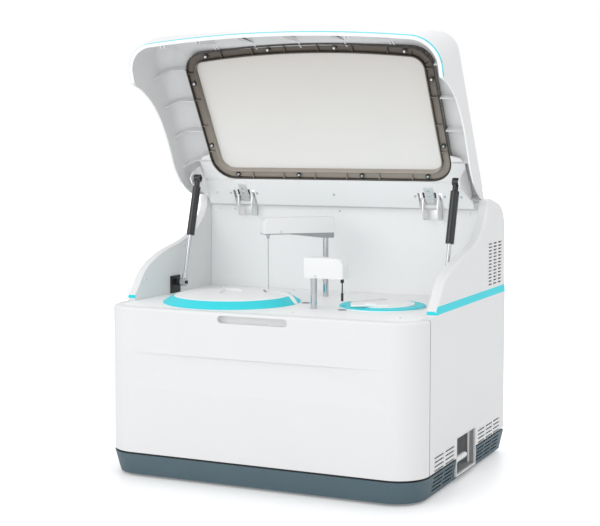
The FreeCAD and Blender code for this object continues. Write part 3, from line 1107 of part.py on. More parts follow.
# Rear flange: a sheet behind the ring with slots for the hinge cheeks and an ear for each strut stud
flange = Part.makeBox(2 * dim.flange_half, dim.flange_tail + dim.ring_rear - dim.seam, dim.skin,
                      Vector(-dim.flange_half, -dim.ring_rear + dim.seam, ring_low))
open_turn = math.radians(dim.lid_open)
head_dy, head_dz = dim.strut_head_y - dim.hinge_y, dim.strut_head_z - dim.hinge_z
head_y = head_dy * math.cos(open_turn) - head_dz * math.sin(open_turn)
head_z = head_dy * math.sin(open_turn) + head_dz * math.cos(open_turn)
ear_face = Part.Face(Part.makePolygon([Vector(0, -dim.ring_rear + dim.seam, ring_low), Vector(0, 2, ring_low),
                                       Vector(0, head_y + 14, head_z - 6), Vector(0, head_y + 4, head_z - 13),
                                       Vector(0, head_y - 9, head_z - 13), Vector(0, head_y - 13, head_z),
                                       Vector(0, -dim.ring_rear - 36, ring_low - 6),
                                       Vector(0, -dim.ring_rear + dim.seam, ring_low)]))
flange_parts = [flange]
for side in (-1, 1):
    ear = ear_face.copy()
    ear.translate(Vector(side * dim.flange_half - (dim.skin if side > 0 else 0), 0, 0))
    flange_parts.append(ear.extrude(Vector(dim.skin, 0, 0)))
    stud_x = dim.strut_x + dim.eye_width / 2 + 0.4
    stud = Part.makeCylinder(dim.strut_pin, dim.flange_half - stud_x, Vector(side * stud_x, head_y, head_z),
                             Vector(side, 0, 0))
    flange_parts.append(stud)
flange_shape = flange_parts[0].fuse(flange_parts[1:])
slots = []
for side in (-1, 1):
    middle = side * dim.hinge_x
    for cheek in (-1, 1):
        slot_x = middle + cheek * (dim.hinge_width / 2 - dim.bracket_sheet / 2)
        slots.append(Part.makeBox(7, 40, 10, Vector(slot_x - 3.5, -20, ring_low - 3)))
    slots.append(Part.makeBox(30, 16, 10, Vector(middle - 15, -6, ring_low - 3)))
keep(place_on_lid(solid("LidFlange", flange_shape.cut(Part.makeCompound(slots)))), "lid_flange")
leaves = []
for side in (-1, 1):
    middle = side * dim.hinge_x
    leaf = Part.makeBox(34, 36, 2.5, Vector(middle - 17, -36, ring_low - 2.5))
    neck = Part.makeBox(28, 8, dim.ring_drop, Vector(middle - 14, -5, ring_low - 1))
    barrel = Part.makeCylinder(dim.barrel_radius, 40, Vector(middle - 20, 0, 0), Vector(1, 0, 0))
    bore = Part.makeCylinder(dim.pin_radius + dim.pin_play, 60, Vector(middle - 30, 0, 0), Vector(1, 0, 0))
    leaves.append(leaf.fuse([neck, barrel]).cut(bore))
keep(place_on_lid(solid("HingeLeaves", Part.makeCompound(leaves))), "lid_hinge_leaves")

screws = []
ring_mid = dim.ring_half - dim.ring_width / 2
for x, y in ([(x, -dim.ring_rear - dim.ring_width / 2) for x in (-230, -77, 77, 230)]
             + [(x, -dim.ring_front + dim.ring_width / 2) for x in (-230, -77, 77, 230)]
             + [(side * ring_mid, y) for side in (-1, 1) for y in (-140, -290)]
             + [(x, -18) for x in (-292, -130, 0, 130, 292)]):
    screws.append(Part.makeCylinder(3.5, 1.6, Vector(x, y, ring_low - 1.6)))
keep(place_on_lid(solid("LidScrews", Part.makeCompound(screws))), "window_screws")

# Gas struts: the rod turns on its foot and slides in the cylinder
strut_dy, strut_dz = dim.strut_head_y - dim.strut_foot_y, dim.strut_head_z - dim.strut_foot_z
strut_length = math.hypot(strut_dy, strut_dz)
strut_tilt = FreeCAD.Rotation(Vector(1, 0, 0), -math.degrees(math.atan2(strut_dy, strut_dz)))
eye = Part.makeCylinder(dim.eye_radius, dim.eye_width, Vector(-dim.eye_width / 2, 0, 0), Vector(1, 0, 0))
eye_bore = Part.makeCylinder(dim.strut_pin + dim.pin_play, 40, Vector(-20, 0, 0), Vector(1, 0, 0))
tube_start = strut_length - dim.tube_head - dim.tube_length
rod_tip = tube_start + 19
rod_shape = eye.fuse([Part.makeCylinder(6, dim.rod_fitting), Part.makeCylinder(dim.rod_radius, rod_tip)]).cut(eye_bore)
tube_shape = Part.makeCylinder(dim.tube_radius, dim.tube_length, Vector(0, 0, tube_start))
tube_shape = tube_shape.makeFillet(2, [edge for edge in tube_shape.Edges if edge.Curve.TypeId == "Part::GeomCircle"])
tube_shape = tube_shape.fuse(Part.makeCylinder(6, dim.tube_head, Vector(0, 0, strut_length - dim.tube_head)))
head_eye = eye.copy()
head_eye.translate(Vector(0, 0, strut_length))
head_bore = eye_bore.copy()
head_bore.translate(Vector(0, 0, strut_length))
tube_bore = Part.makeCylinder(dim.rod_radius + dim.pin_play, dim.tube_length - 1, Vector(0, 0, tube_start - 1))
tube_shape = tube_shape.fuse(head_eye).cut(head_bore).cut(tube_bore)
for name, side in (("left", -1), ("right", 1)):
    rod = solid(name.title() + "Rod", rod_shape)
    rod.Placement = FreeCAD.Placement(Vector(side * dim.strut_x, dim.strut_foot_y, dim.strut_foot_z), strut_tilt)
    keep(rod, name + "_strut_rod")
    tube = solid(name.title() + "Tube", tube_shape)
    tube.Placement = rod.Placement
    keep(tube, name + "_strut_tube")
    plate_x = inner_x - 3 if side > 0 else -inner_x
    seat = Part.makeBox(3, 40, 38, Vector(plate_x, dim.strut_foot_y - 22, dim.deck_top))
    collar = Part.makeCylinder(8, inner_x - 1 - dim.strut_x - dim.eye_width / 2 - 0.4,
                               Vector(side * (dim.strut_x + dim.eye_width / 2 + 0.4), dim.strut_foot_y,
                                      dim.strut_foot_z), Vector(side, 0, 0))
    pivot = Part.makeCylinder(dim.strut_pin, inner_x - 1 - dim.strut_x + dim.eye_width / 2 + 2,
                              Vector(side * (dim.strut_x - dim.eye_width / 2 - 2), dim.strut_foot_y,
                                     dim.strut_foot_z), Vector(side, 0, 0))
    keep(solid(name.title() + "Foot", seat.fuse([collar, pivot])), name + "_strut_foot")

doc.recompute()
broken = [item.Name for item in doc.Objects if "Invalid" in item.State or "Error" in item.State]
if broken:
    raise RuntimeError("failed objects: %s" % broken)
os.makedirs("parts", exist_ok=True)
bad = [piece.Label for piece in nodes
       if piece.Shape.isNull() or not piece.Shape.isValid() or not piece.Shape.Solids]
if bad:
    raise RuntimeError("bad shapes: %s" % bad)
for piece in nodes:
    piece.Shape.exportStep(os.path.join("parts", piece.Label + ".step"))
print(len(nodes), "sub-parts written")
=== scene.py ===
import bmesh
import bpy
import math
from mathutils import Matrix, Vector


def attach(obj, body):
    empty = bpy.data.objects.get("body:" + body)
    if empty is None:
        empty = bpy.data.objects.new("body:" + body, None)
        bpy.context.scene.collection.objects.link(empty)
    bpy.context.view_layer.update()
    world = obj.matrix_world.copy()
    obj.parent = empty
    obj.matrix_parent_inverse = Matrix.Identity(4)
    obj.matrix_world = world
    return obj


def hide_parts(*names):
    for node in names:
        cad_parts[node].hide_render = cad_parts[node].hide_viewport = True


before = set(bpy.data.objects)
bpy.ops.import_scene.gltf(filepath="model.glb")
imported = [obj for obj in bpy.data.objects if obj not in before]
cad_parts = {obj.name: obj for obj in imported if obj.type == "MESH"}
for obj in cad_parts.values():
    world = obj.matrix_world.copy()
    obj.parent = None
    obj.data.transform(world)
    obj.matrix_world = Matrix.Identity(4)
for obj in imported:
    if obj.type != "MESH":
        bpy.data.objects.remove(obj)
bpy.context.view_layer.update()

# The studio: a white sweep that fades into the background, a large soft key from the upper left and a weak
# fill from the right, at a level at which colours render about as they are written.
scene = bpy.context.scene
scene.view_settings.view_transform = "Standard"
world = bpy.data.worlds.new("Studio")
scene.world = world
world.use_nodes = True
sky = world.node_tree.nodes
sky_links = world.node_tree.links
sky["Background"].inputs["Color"].default_value = (0.98, 0.99, 1.0, 1)
sky["Background"].inputs["Strength"].default_value = 0.88
seen_sky = sky.new("ShaderNodeBackground")
seen_sky.inputs["Color"].default_value = (1, 1, 1, 1)
seen_sky.inputs["Strength"].default_value = 1.0
sky_ray = sky.new("ShaderNodeLightPath")
sky_mix = sky.new("ShaderNodeMixShader")
sky_links.new(sky_ray.outputs["Is Camera Ray"], sky_mix.inputs["Fac"])
sky_links.new(sky["Background"].outputs["Background"], sky_mix.inputs[1])
sky_links.new(seen_sky.outputs["Background"], sky_mix.inputs[2])
sky_links.new(sky_mix.outputs["Shader"], sky["World Output"].inputs["Surface"])


def lamp(name, place, target, width, height, power):
    """A rectangular softbox that points at a target."""
    light = bpy.data.lights.new(name, "AREA")
    light.shape = "RECTANGLE"
    light.size = width
    light.size_y = height
    light.energy = power
    holder = bpy.data.objects.new(name, light)
    scene.collection.objects.link(holder)
    holder.location = place
    holder.rotation_euler = (Vector(target) - Vector(place)).to_track_quat("-Z", "Y").to_euler()
    return holder


lamp("Key", (-1.5, -3.0, 1.9), (0, 0, 0.5), 2.4, 1.8, 21)
lamp("Front", (0.5, -3.4, 0.7), (0, 0, 0.65), 2.4, 1.0, 9)
lamp("Fill", (2.8, -1.0, 1.5), (0, 0, 0.4), 1.8, 1.8, 3.5)
lamp("Top", (0.2, 0.2, 3.0), (0, 0, 0.4), 2.6, 2.0, 16)
lamp("Back", (-0.5, 2.8, 1.8), (0, 0, 0.4), 2.2, 1.6, 10)

floor_mesh = bmesh.new()
bmesh.ops.create_grid(floor_mesh, x_segments=1, y_segments=1, size=14)
floor_data = bpy.data.meshes.new("Floor")
floor_mesh.to_mesh(floor_data)
floor_mesh.free()
floor = bpy.data.objects.new("Floor", floor_data)
scene.collection.objects.link(floor)
floor_finish = bpy.data.materials.new("Studio floor")
floor_finish.use_nodes = True
floor_nodes = floor_finish.node_tree.nodes
floor_links = floor_finish.node_tree.links
floor_shader = floor_nodes["Principled BSDF"]
floor_shader.inputs["Base Color"].default_value = (0.9, 0.9, 0.9, 1)
floor_shader.inputs["Roughness"].default_value = 0.35
floor_shader.inputs["Specular IOR Level"].default_value = 0.3
floor_place = floor_nodes.new("ShaderNodeTexCoord")
floor_reach = floor_nodes.new("ShaderNodeVectorMath")
floor_reach.operation = "LENGTH"
floor_links.new(floor_place.outputs["Object"], floor_reach.inputs[0])
floor_fade = floor_nodes.new("ShaderNodeMapRange")
floor_fade.interpolation_type = "SMOOTHSTEP"
floor_fade.inputs["From Min"].default_value = 0.45
floor_fade.inputs["From Max"].default_value = 1.5
floor_fade.inputs["To Min"].default_value = 0.22
floor_fade.inputs["To Max"].default_value = 1.0
floor_links.new(floor_reach.outputs["Value"], floor_fade.inputs["Value"])
floor_ray = floor_nodes.new("ShaderNodeLightPath")
floor_seen = floor_nodes.new("ShaderNodeMath")
floor_seen.operation = "MAXIMUM"
floor_links.new(floor_ray.outputs["Is Camera Ray"], floor_seen.inputs[0])
floor_links.new(floor_ray.outputs["Is Transmission Ray"], floor_seen.inputs[1])
floor_glow = floor_nodes.new("ShaderNodeMath")
floor_glow.operation = "MULTIPLY"
floor_links.new(floor_fade.outputs["Result"], floor_glow.inputs[0])
floor_links.new(floor_seen.outputs["Value"], floor_glow.inputs[1])
floor_shader.inputs["Emission Color"].default_value = (1, 1, 1, 1)
floor_links.new(floor_glow.outputs["Value"], floor_shader.inputs["Emission Strength"])
floor_data.materials.append(floor_finish)

# The camera stands where the photograph was taken from: to the right of the front and a little above it.
camera_place = Vector((1.2052, -2.6328, 0.7023))
camera_aim = Vector((-0.4212, 0.9021, -0.0943))
camera_roll = math.radians(-0.08)
camera_data = bpy.data.cameras.new("Camera")
camera_data.lens = 82.32
camera_data.sensor_width = 36
camera = bpy.data.objects.new("Camera", camera_data)
scene.collection.objects.link(camera)
camera.location = camera_place
camera.rotation_euler = (camera_aim.to_track_quat("-Z", "Y").to_matrix()
                         @ Matrix.Rotation(camera_roll, 3, "Z")).to_euler()
scene.camera = camera


# Moulded housing: covers of satin white plastic, moulded in one piece each and screwed to the chassis from
# inside. Their fine texture comes from the tool and is a little greyer in its pores.
def moulded_grain():
    """A shader group: fine and coarse noise on object coordinates as a mask and a height."""
    group = bpy.data.node_groups.new("Moulded grain", "ShaderNodeTree")
    face = group.interface
    for name, default in (("Grain Size", 0.0008), ("Cloud Size", 0.12)):
        socket = face.new_socket(name=name, in_out="INPUT", socket_type="NodeSocketFloat")
        socket.default_value = default
    for name in ("Grain", "Clouds"):
        face.new_socket(name=name, in_out="OUTPUT", socket_type="NodeSocketFloat")
    nodes, links = group.nodes, group.links
    given = nodes.new("NodeGroupInput")
    result = nodes.new("NodeGroupOutput")
    place = nodes.new("ShaderNodeTexCoord")
    for size_name, out_name, detail in (("Grain Size", "Grain", 2.0), ("Cloud Size", "Clouds", 3.0)):
        inverse = nodes.new("ShaderNodeMath")
        inverse.operation = "DIVIDE"
        inverse.inputs[0].default_value = 1.0
        links.new(given.outputs[size_name], inverse.inputs[1])
        noise = nodes.new("ShaderNodeTexNoise")
        noise.inputs["Detail"].default_value = detail
        links.new(place.outputs["Object"], noise.inputs["Vector"])
        links.new(inverse.outputs["Value"], noise.inputs["Scale"])
        links.new(noise.outputs["Fac"], result.inputs[out_name])
    return group


grain_group = moulded_grain()


def plastic(name, light, dark, rough, grain=0.0008, relief=0.06, coat=0.0, specular=0.5):
    """A moulded plastic: two close colours in the clouds, roughness from both, relief from the grain."""
    finish = bpy.data.materials.new(name)
    finish.use_nodes = True
    nodes, links = finish.node_tree.nodes, finish.node_tree.links
    shader = nodes["Principled BSDF"]
    pattern = nodes.new("ShaderNodeGroup")
    pattern.node_tree = grain_group
    pattern.inputs["Grain Size"].default_value = grain
    colour = nodes.new("ShaderNodeMix")
    colour.data_type = "RGBA"
    colour.inputs[6].default_value = (*light, 1)
    colour.inputs[7].default_value = (*dark, 1)
    links.new(pattern.outputs["Clouds"], colour.inputs[0])
    links.new(colour.outputs[2], shader.inputs["Base Color"])
    shine = nodes.new("ShaderNodeMapRange")
    shine.inputs["To Min"].default_value = rough - 0.06
    shine.inputs["To Max"].default_value = rough + 0.06
    links.new(pattern.outputs["Grain"], shine.inputs["Value"])
    links.new(shine.outputs["Result"], shader.inputs["Roughness"])
    bump = nodes.new("ShaderNodeBump")
    bump.inputs["Strength"].default_value = relief
    bump.inputs["Distance"].default_value = 0.0004
    links.new(pattern.outputs["Grain"], bump.inputs["Height"])
    links.new(bump.outputs["Normal"], shader.inputs["Normal"])
    shader.inputs["Coat Weight"].default_value = coat
    shader.inputs["Coat Roughness"].default_value = 0.12
    shader.inputs["Specular IOR Level"].default_value = specular
    return finish


def dress(finish, *names):
    """Gives CAD nodes one finish."""
    for name in names:
        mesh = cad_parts[name].data
        mesh.materials.clear()
        mesh.materials.append(finish)


def seamed(finish, place, width):
    """Draws a dark joint line across a finish, at a place along the depth."""
    nodes, links = finish.node_tree.nodes, finish.node_tree.links
    shader = nodes["Principled BSDF"]
    colour = shader.inputs["Base Color"].links[0].from_socket
    where = nodes.new("ShaderNodeTexCoord")
    split = nodes.new("ShaderNodeSeparateXYZ")
    links.new(where.outputs["Object"], split.inputs[0])
    near = nodes.new("ShaderNodeMath")
    near.operation = "COMPARE"
    near.inputs[1].default_value = place
    near.inputs[2].default_value = width / 2
    links.new(split.outputs["Y"], near.inputs[0])
    line = nodes.new("ShaderNodeMix")
    line.data_type = "RGBA"
    line.inputs[7].default_value = (0.07, 0.07, 0.07, 1)
    links.new(near.outputs["Value"], line.inputs[0])
    links.new(colour, line.inputs[6])
    links.new(line.outputs[2], shader.inputs["Base Color"])


white_plastic = plastic("White housing plastic", (0.8, 0.8, 0.802), (0.775, 0.775, 0.778), 0.4)
dress(white_plastic, "bay_frame", "rear_panel", "left_wall_cover", "right_wall_cover", "rear_hood")
panel_joint_y, panel_joint_width = -0.21, 0.0022
panel_plastic = plastic("White panel plastic", (0.8, 0.8, 0.802), (0.775, 0.775, 0.778), 0.4)
seamed(panel_plastic, panel_joint_y, panel_joint_width)
dress(panel_plastic, "front_cover", "left_side_panel", "right_side_panel")
# The back wall, deck, lid flange and disk covers are the same white plastic as the outer covers, painted
# brighter: painted light that makes up for the shade inside the work area.
inner_white_painted_bright = plastic("Inner white plastic painted bright", (0.94, 0.94, 0.941), (0.92, 0.92, 0.922), 0.42)
dress(inner_white_painted_bright, "back_wall", "deck_cover", "lid_flange", "reaction_disk_cover")
# The arm hoods and the bay's nozzle: the same white plastic, painted brighter, as painted light.
hood_white_painted_bright = plastic("White hood plastic painted bright", (0.87, 0.87, 0.872), (0.84, 0.84, 0.843), 0.36)
base_plastic = plastic("Blue grey base plastic", (0.085, 0.135, 0.16), (0.07, 0.115, 0.14), 0.5, relief=0.15)
seamed(base_plastic, -0.2115, 0.0026)
dress(base_plastic, "base_tray")
cyan_plastic = plastic("Cyan trim", (0.045, 0.72, 0.8), (0.03, 0.67, 0.76), 0.4, relief=0.02, specular=0.25)
dress(cyan_plastic, "left_stripe", "right_stripe", "reaction_cover_ring")
black_plastic = plastic("Black plastic", (0.018, 0.018, 0.02), (0.012, 0.012, 0.013), 0.45, relief=0.15)
dress(black_plastic, "rubber_feet", "power_inlet", "power_rocker", "fan_frame", "fan_rotor", "mixer_paddle",
      "left_strut_foot", "right_strut_foot")
grey_and_shade_plastic = plastic("Grey plastic", (0.36, 0.37, 0.38), (0.32, 0.33, 0.34), 0.42)
# The disks, wash pots and cuvettes are grey of themselves; the sample arm's base is white plastic, and its
# grey here is painted shade.
dress(grey_and_shade_plastic, "sample_disk", "reaction_disk", "wash_pots", "sample_arm_base", "cuvettes")
dress(white_plastic, "hose_fitting")
recess_plastic = plastic("Grey recess", (0.34, 0.345, 0.35), (0.3, 0.305, 0.31), 0.42)
dress(recess_plastic, "bay_recess")
cylinder_black = plastic("Black strut tube", (0.02, 0.021, 0.023), (0.014, 0.015, 0.016), 0.16,
                         relief=0.02, coat=0.2)
dress(cylinder_black, "left_strut_tube", "right_strut_tube")


# Bare metal: the posts and rods are drawn steel, ground and polished along their length. Hinge parts, chassis
# and carriages are folded or machined and left brushed.
def metal(name, tint, rough, streak=(900, 900, 60)):
    """A metal whose streaks run along the axis with the small number."""
    finish = bpy.data.materials.new(name)
    finish.use_nodes = True
    nodes, links = finish.node_tree.nodes, finish.node_tree.links
    shader = nodes["Principled BSDF"]
    shader.inputs["Metallic"].default_value = 1.0
    place = nodes.new("ShaderNodeTexCoord")
    stretch = nodes.new("ShaderNodeMapping")
    stretch.inputs["Scale"].default_value = streak
    noise = nodes.new("ShaderNodeTexNoise")
    noise.inputs["Scale"].default_value = 1.0
    noise.inputs["Detail"].default_value = 3.0
    links.new(place.outputs["Object"], stretch.inputs["Vector"])
    links.new(stretch.outputs["Vector"], noise.inputs["Vector"])
    colour = nodes.new("ShaderNodeMix")
    colour.data_type = "RGBA"
    colour.inputs[6].default_value = (*tint, 1)
    colour.inputs[7].default_value = (*(0.86 * value for value in tint), 1)
    links.new(noise.outputs["Fac"], colour.inputs[0])
    links.new(colour.outputs[2], shader.inputs["Base Color"])
    shine = nodes.new("ShaderNodeMapRange")
    shine.inputs["To Min"].default_value = rough * 0.7
    shine.inputs["To Max"].default_value = rough * 1.3
    links.new(noise.outputs["Fac"], shine.inputs["Value"])
    links.new(shine.outputs["Result"], shader.inputs["Roughness"])
    return finish


polished_steel = metal("Polished steel", (0.62, 0.63, 0.65), 0.14, (300, 300, 8))
dress(polished_steel, "left_strut_rod", "right_strut_rod", "sample_arm_shaft", "mixer_arm_shaft",
      "sample_probe")
brushed_steel = metal("Brushed steel", (0.6, 0.61, 0.63), 0.3)
dress(brushed_steel, "chassis_plate", "chassis_frame", "sample_well", "reaction_well", "lift_towers",
      "sample_lift_carriage", "mixer_lift_carriage", "disk_motors", "power_supply")

# Lid: one thin moulding of white plastic on two hinges, bowed in front, with rolled edges and sides that
# follow the curve of the walls. Its pieces are drawn in millimetres from the hinge axis with the window level,
# then tilted open.
hinge_y, hinge_z = 142, 563
HINGE = Vector((0, hinge_y / 1000, hinge_z / 1000))
LID_TILT = math.radians(60)
MILLIMETRE = Matrix.Scale(0.001, 4)
ON_LID = Matrix.Translation(HINGE) @ Matrix.Rotation(-LID_TILT, 4, "X") @ MILLIMETRE
SLOPE = math.radians(11)
lid_half, lid_front, lid_top, lid_skin_wall = 344.9, -281.5, 8.1, 3.0
lid_bow, lid_corner = 2800, 64
crest_roll, corner_roll, side_roll = 106, 82, 36
rear_joint = -78


def finished(name, mesh, place, body, slot, *finishes, replaced=(), sharp=35):
    """Turns a bmesh into a piece that rides on a body, with its place in its mesh and soft shading."""
    bmesh.ops.remove_doubles(mesh, verts=mesh.verts, dist=0.00001)
    bmesh.ops.recalc_face_normals(mesh, faces=mesh.faces)
    mesh.transform(place)
    data = bpy.data.meshes.new(name)
    mesh.to_mesh(data)
    mesh.free()
    data.shade_smooth()
    data.set_sharp_from_angle(angle=math.radians(sharp))
    for finish in finishes:
        data.materials.append(finish)
    thing = bpy.data.objects.new(name, data)
    scene.collection.objects.link(thing)
    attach(thing, body)
    if replaced:
        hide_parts(*replaced)
    return thing


def half_plan(half, front, bow, corner):
    """The right half of a bowed plan as places with their outward direction, and where its side starts."""
    middle = front + bow
    centre_x = half - corner
    centre_y = middle - math.sqrt((bow - corner) ** 2 - centre_x ** 2)
    turn = math.atan2(centre_x, middle - centre_y)
    plan = [(bow * math.sin(turn * i / 20), middle - bow * math.cos(turn * i / 20), turn * i / 20)
            for i in range(20)]
    for i in range(15):
        angle = turn + (math.pi / 2 - turn) * i / 14
        plan.append((centre_x + corner * math.sin(angle), centre_y - corner * math.cos(angle), angle))
    return [(x, y, math.sin(angle), -math.cos(angle)) for x, y, angle in plan], centre_y


def smooth(value, low, high):
    """A smooth step from 0 to 1 between two values."""
    share = min(max((value - low) / (high - low), 0), 1)
    return share * share * (3 - 2 * share)


def to_lid(y, z):
    """A place of the closed lid in the room, seen from the hinge axis with the window level."""
    return (y * math.cos(SLOPE) + z * math.sin(SLOPE), z * math.cos(SLOPE) - y * math.sin(SLOPE))


# The side edge of the closed lid, from its front corner back to the hinge, measured from the hinge axis.
SIDE_EDGE = [to_lid(y, z) for y, z in ((-322, -196), (-305.2, -170.6), (-284.7, -150.6), (-262.2, -133.5),
                                       (-234.2, -118.5), (-203.9, -107.5), (-168.1, -99.5), (-133.4, -94.5),
                                       (-98.3, -90.2), (-59.3, -74.8), (-33.5, -56.5))]
lip_start, lip_end = to_lid(-424, -197), to_lid(-322, -196)


def edge_height(y):
    """Height of the lid's free edge at a distance from the hinge: the lip in front, then the walls' curve."""
    if y <= lip_end[0]:
        share = (y - lip_start[0]) / (lip_end[0] - lip_start[0])
        return lip_start[1] + share * (lip_end[1] - lip_start[1])
    for i in range(len(SIDE_EDGE) - 1):
        (y_a, z_a), (y_b, z_b) = SIDE_EDGE[i], SIDE_EDGE[i + 1]
        if y <= y_b or i == len(SIDE_EDGE) - 2:
            before = SIDE_EDGE[max(i - 1, 0)]
            after = SIDE_EDGE[min(i + 2, len(SIDE_EDGE) - 1)]
            slope_a = (z_b - before[1]) / (y_b - before[0])
            slope_b = (after[1] - z_a) / (after[0] - y_a)
            t, run = (y - y_a) / (y_b - y_a), y_b - y_a
            return ((2 * t ** 3 - 3 * t * t + 1) * z_a + (t ** 3 - 2 * t * t + t) * run * slope_a
                    + (3 * t * t - 2 * t ** 3) * z_b + (t ** 3 - t * t) * run * slope_b)


plan_half, side_start = half_plan(lid_half, lid_front, lid_bow, lid_corner)
SIDE_STEPS = 30
columns = []
for x, y, out_x, out_y in plan_half:
    roll = crest_roll - (crest_roll - corner_roll) * smooth(x, 150, 288)
    roll -= (corner_roll - side_roll) * smooth(x, 296, 344)
    columns.append((x, y, out_x, out_y, roll, 0.0))
columns += [(lid_half, side_start, 1.0, 0.0, side_roll, i / SIDE_STEPS) for i in range(1, SIDE_STEPS + 1)]
columns = [(-x, y, -a, b, r, f) for x, y, a, b, r, f in reversed(columns[1:])] + columns


def on_shell(column, inset, z):
    """A place on the lid's upright wall at a height, moved inwards by an inset."""
    x, y, out_x, out_y, roll, share = column
    y_room = y - out_y * inset - hinge_y
    y_lid = (y_room + z * math.sin(SLOPE)) / math.cos(SLOPE)
    return Vector((x - out_x * inset, y_lid * (1 - share) + rear_joint * share, z))


def edge_of(column, inset=0.0):
    """The lowest place of a column of the lid's wall."""
    z = -80.0
    for i in range(12):
        z = edge_height(on_shell(column, inset, z).y)
    return z


def rolled(column, wall, angle):
    """A place on the rolled edge between the upright wall, at angle 0, and the flat top, at a right angle."""
    radius = column[4] - wall
    inset = wall + radius * (1 - math.cos(angle))
    return on_shell(column, inset, lid_top - wall - radius * (1 - math.sin(angle)))


def lip_share(column):
    """1 along the front and round the corners, where the lid has its lip and its coloured line, else 0."""
    return 1 - smooth(on_shell(column, 0, edge_of(column)).y, lip_end[0] - 4, lip_end[0] + 2)


def sheet_through(mesh, rows, closed=False, index=0):
    """Faces between rows of places that have the same number of places each."""
    grid = [[mesh.verts.new(place) for place in row] for row in rows]
    for lower, upper in zip(grid, grid[1:]):
        count = len(lower)
        for i in range(count if closed else count - 1):
            face = mesh.faces.new((lower[i], lower[(i + 1) % count], upper[(i + 1) % count], upper[i]))
            face.material_index = index
    return grid


groove, strip_height = 0.5, 5.5
quarter = [math.radians(90) * i / 12 for i in range(13)]
outer_rows = [[on_shell(c, groove * lip_share(c), edge_of(c)) for c in columns],
              [on_shell(c, groove * lip_share(c), edge_of(c) + strip_height) for c in columns],
              [on_shell(c, 0, edge_of(c) + strip_height) for c in columns]]
outer_rows += [[rolled(c, 0, angle) for c in columns] for angle in quarter]
inner_rows = [[rolled(c, lid_skin_wall, angle) for c in columns] for angle in reversed(quarter)]
inner_rows += [[on_shell(c, lid_skin_wall, edge_of(c, lid_skin_wall) + 2.6 * lip_share(c)) for c in columns],
               [on_shell(c, lid_skin_wall + 5 * lip_share(c), edge_of(c, lid_skin_wall) + 2.6 * lip_share(c))
                for c in columns],
               [on_shell(c, lid_skin_wall + 5 * lip_share(c), edge_of(c, lid_skin_wall)) for c in columns]]
skin_mesh = bmesh.new()
outer_grid = sheet_through(skin_mesh, outer_rows)
inner_grid = sheet_through(skin_mesh, inner_rows)
lip_faces = []
for i in range(len(columns) - 1):
    lip_faces.append(skin_mesh.faces.new((inner_grid[-1][i], inner_grid[-1][i + 1], outer_grid[0][i + 1],
                                          outer_grid[0][i])))
skin_mesh.faces.new(outer_grid[-1])
skin_mesh.faces.new(list(reversed(inner_grid[0])))
for face in lip_faces:
    nearest = min(columns, key=lambda column: abs(column[0] - face.verts[3].co.x))
    if lip_share(nearest) > 0.5:
        face.material_index = 1
rear_loop = ([row[0] for row in outer_grid] + [row[-1] for row in reversed(outer_grid)]
             + [row[-1] for row in reversed(inner_grid)] + [row[0] for row in inner_grid])
skin_mesh.faces.new(rear_loop)


ring_half, ring_front, ring_rear, ring_bow, ring_corner = 283, -377.5, -49.5, 1940, 50


def frame_plan(inset):
    """The plan of the window ring, moved inwards: a bowed front and rounded corners, as places in a loop."""
    side = half_plan(ring_half, ring_front, ring_bow, ring_corner)[0]
    for i in range(15):
        angle = math.pi / 2 + math.pi / 2 * i / 14
        side.append((ring_half - ring_corner + ring_corner * math.sin(angle),
                     ring_rear - ring_corner - ring_corner * math.cos(angle),
                     math.sin(angle), -math.cos(angle)))
    loop = [(-x, y, -a, b) for x, y, a, b in reversed(side[1:])] + side
    return [(x - a * inset, y - b * inset) for x, y, a, b in loop]


def prism(plan, low, high):
    """A block over a closed plan."""
    mesh = bmesh.new()
    base = mesh.faces.new([mesh.verts.new((x, y, low)) for x, y in plan])
    up = bmesh.ops.extrude_face_region(mesh, geom=[base])["geom"]
    moved = [v for v in up if isinstance(v, bmesh.types.BMVert)]
    bmesh.ops.translate(mesh, verts=moved, vec=(0, 0, high - low))
    bmesh.ops.recalc_face_normals(mesh, faces=mesh.faces)
    return mesh


def carved(thing, plan, low, high, place):
    """Cuts a prism out of a piece for good."""
    tool_mesh = prism(plan, low, high)
    tool_mesh.transform(place)
    tool_data = bpy.data.meshes.new("cutter")
    tool_mesh.to_mesh(tool_data)
    tool_mesh.free()
    tool = bpy.data.objects.new("cutter", tool_data)
    scene.collection.objects.link(tool)
    cut = thing.modifiers.new("Cut", "BOOLEAN")
    cut.operation = "DIFFERENCE"
    cut.solver = "EXACT"
    cut.object = tool
    bpy.context.view_layer.update()
    result = bpy.data.meshes.new_from_object(thing.evaluated_get(bpy.context.evaluated_depsgraph_get()))
    thing.modifiers.clear()
    thing.data = result
    bpy.data.objects.remove(tool)
    result.shade_smooth()
    result.set_sharp_from_angle(angle=math.radians(35))


# The lid's lip is part of the same moulding as the lid; it is painted brighter, as painted light on its lower
# edge.
lip_white_painted_bright = plastic("Lip white plastic painted bright", (0.95, 0.95, 0.95), (0.93, 0.93, 0.93), 0.35)
lid_skin = finished("lid_skin", skin_mesh, ON_LID, "lid", "white_housing", white_plastic, lip_white_painted_bright)
carved(lid_skin, frame_plan(8), -60, 60, ON_LID)

# Rear of the lid: the plain part behind the window, taken from the CAD's shell and cut where the skin ends.
rear_mesh = bmesh.new()
rear_mesh.from_mesh(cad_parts["lid_shell"].data)
bmesh.ops.remove_doubles(rear_mesh, verts=rear_mesh.verts, dist=0.000002)
rear_mesh.transform(ON_LID.inverted())
bmesh.ops.bisect_plane(rear_mesh, geom=rear_mesh.verts[:] + rear_mesh.edges[:] + rear_mesh.faces[:],
                       plane_co=(0, rear_joint, 0), plane_no=(0, 1, 0), clear_inner=True)
finished("lid_rear_part", rear_mesh, ON_LID, "lid", "white_housing", white_plastic)
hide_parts("lid_shell")

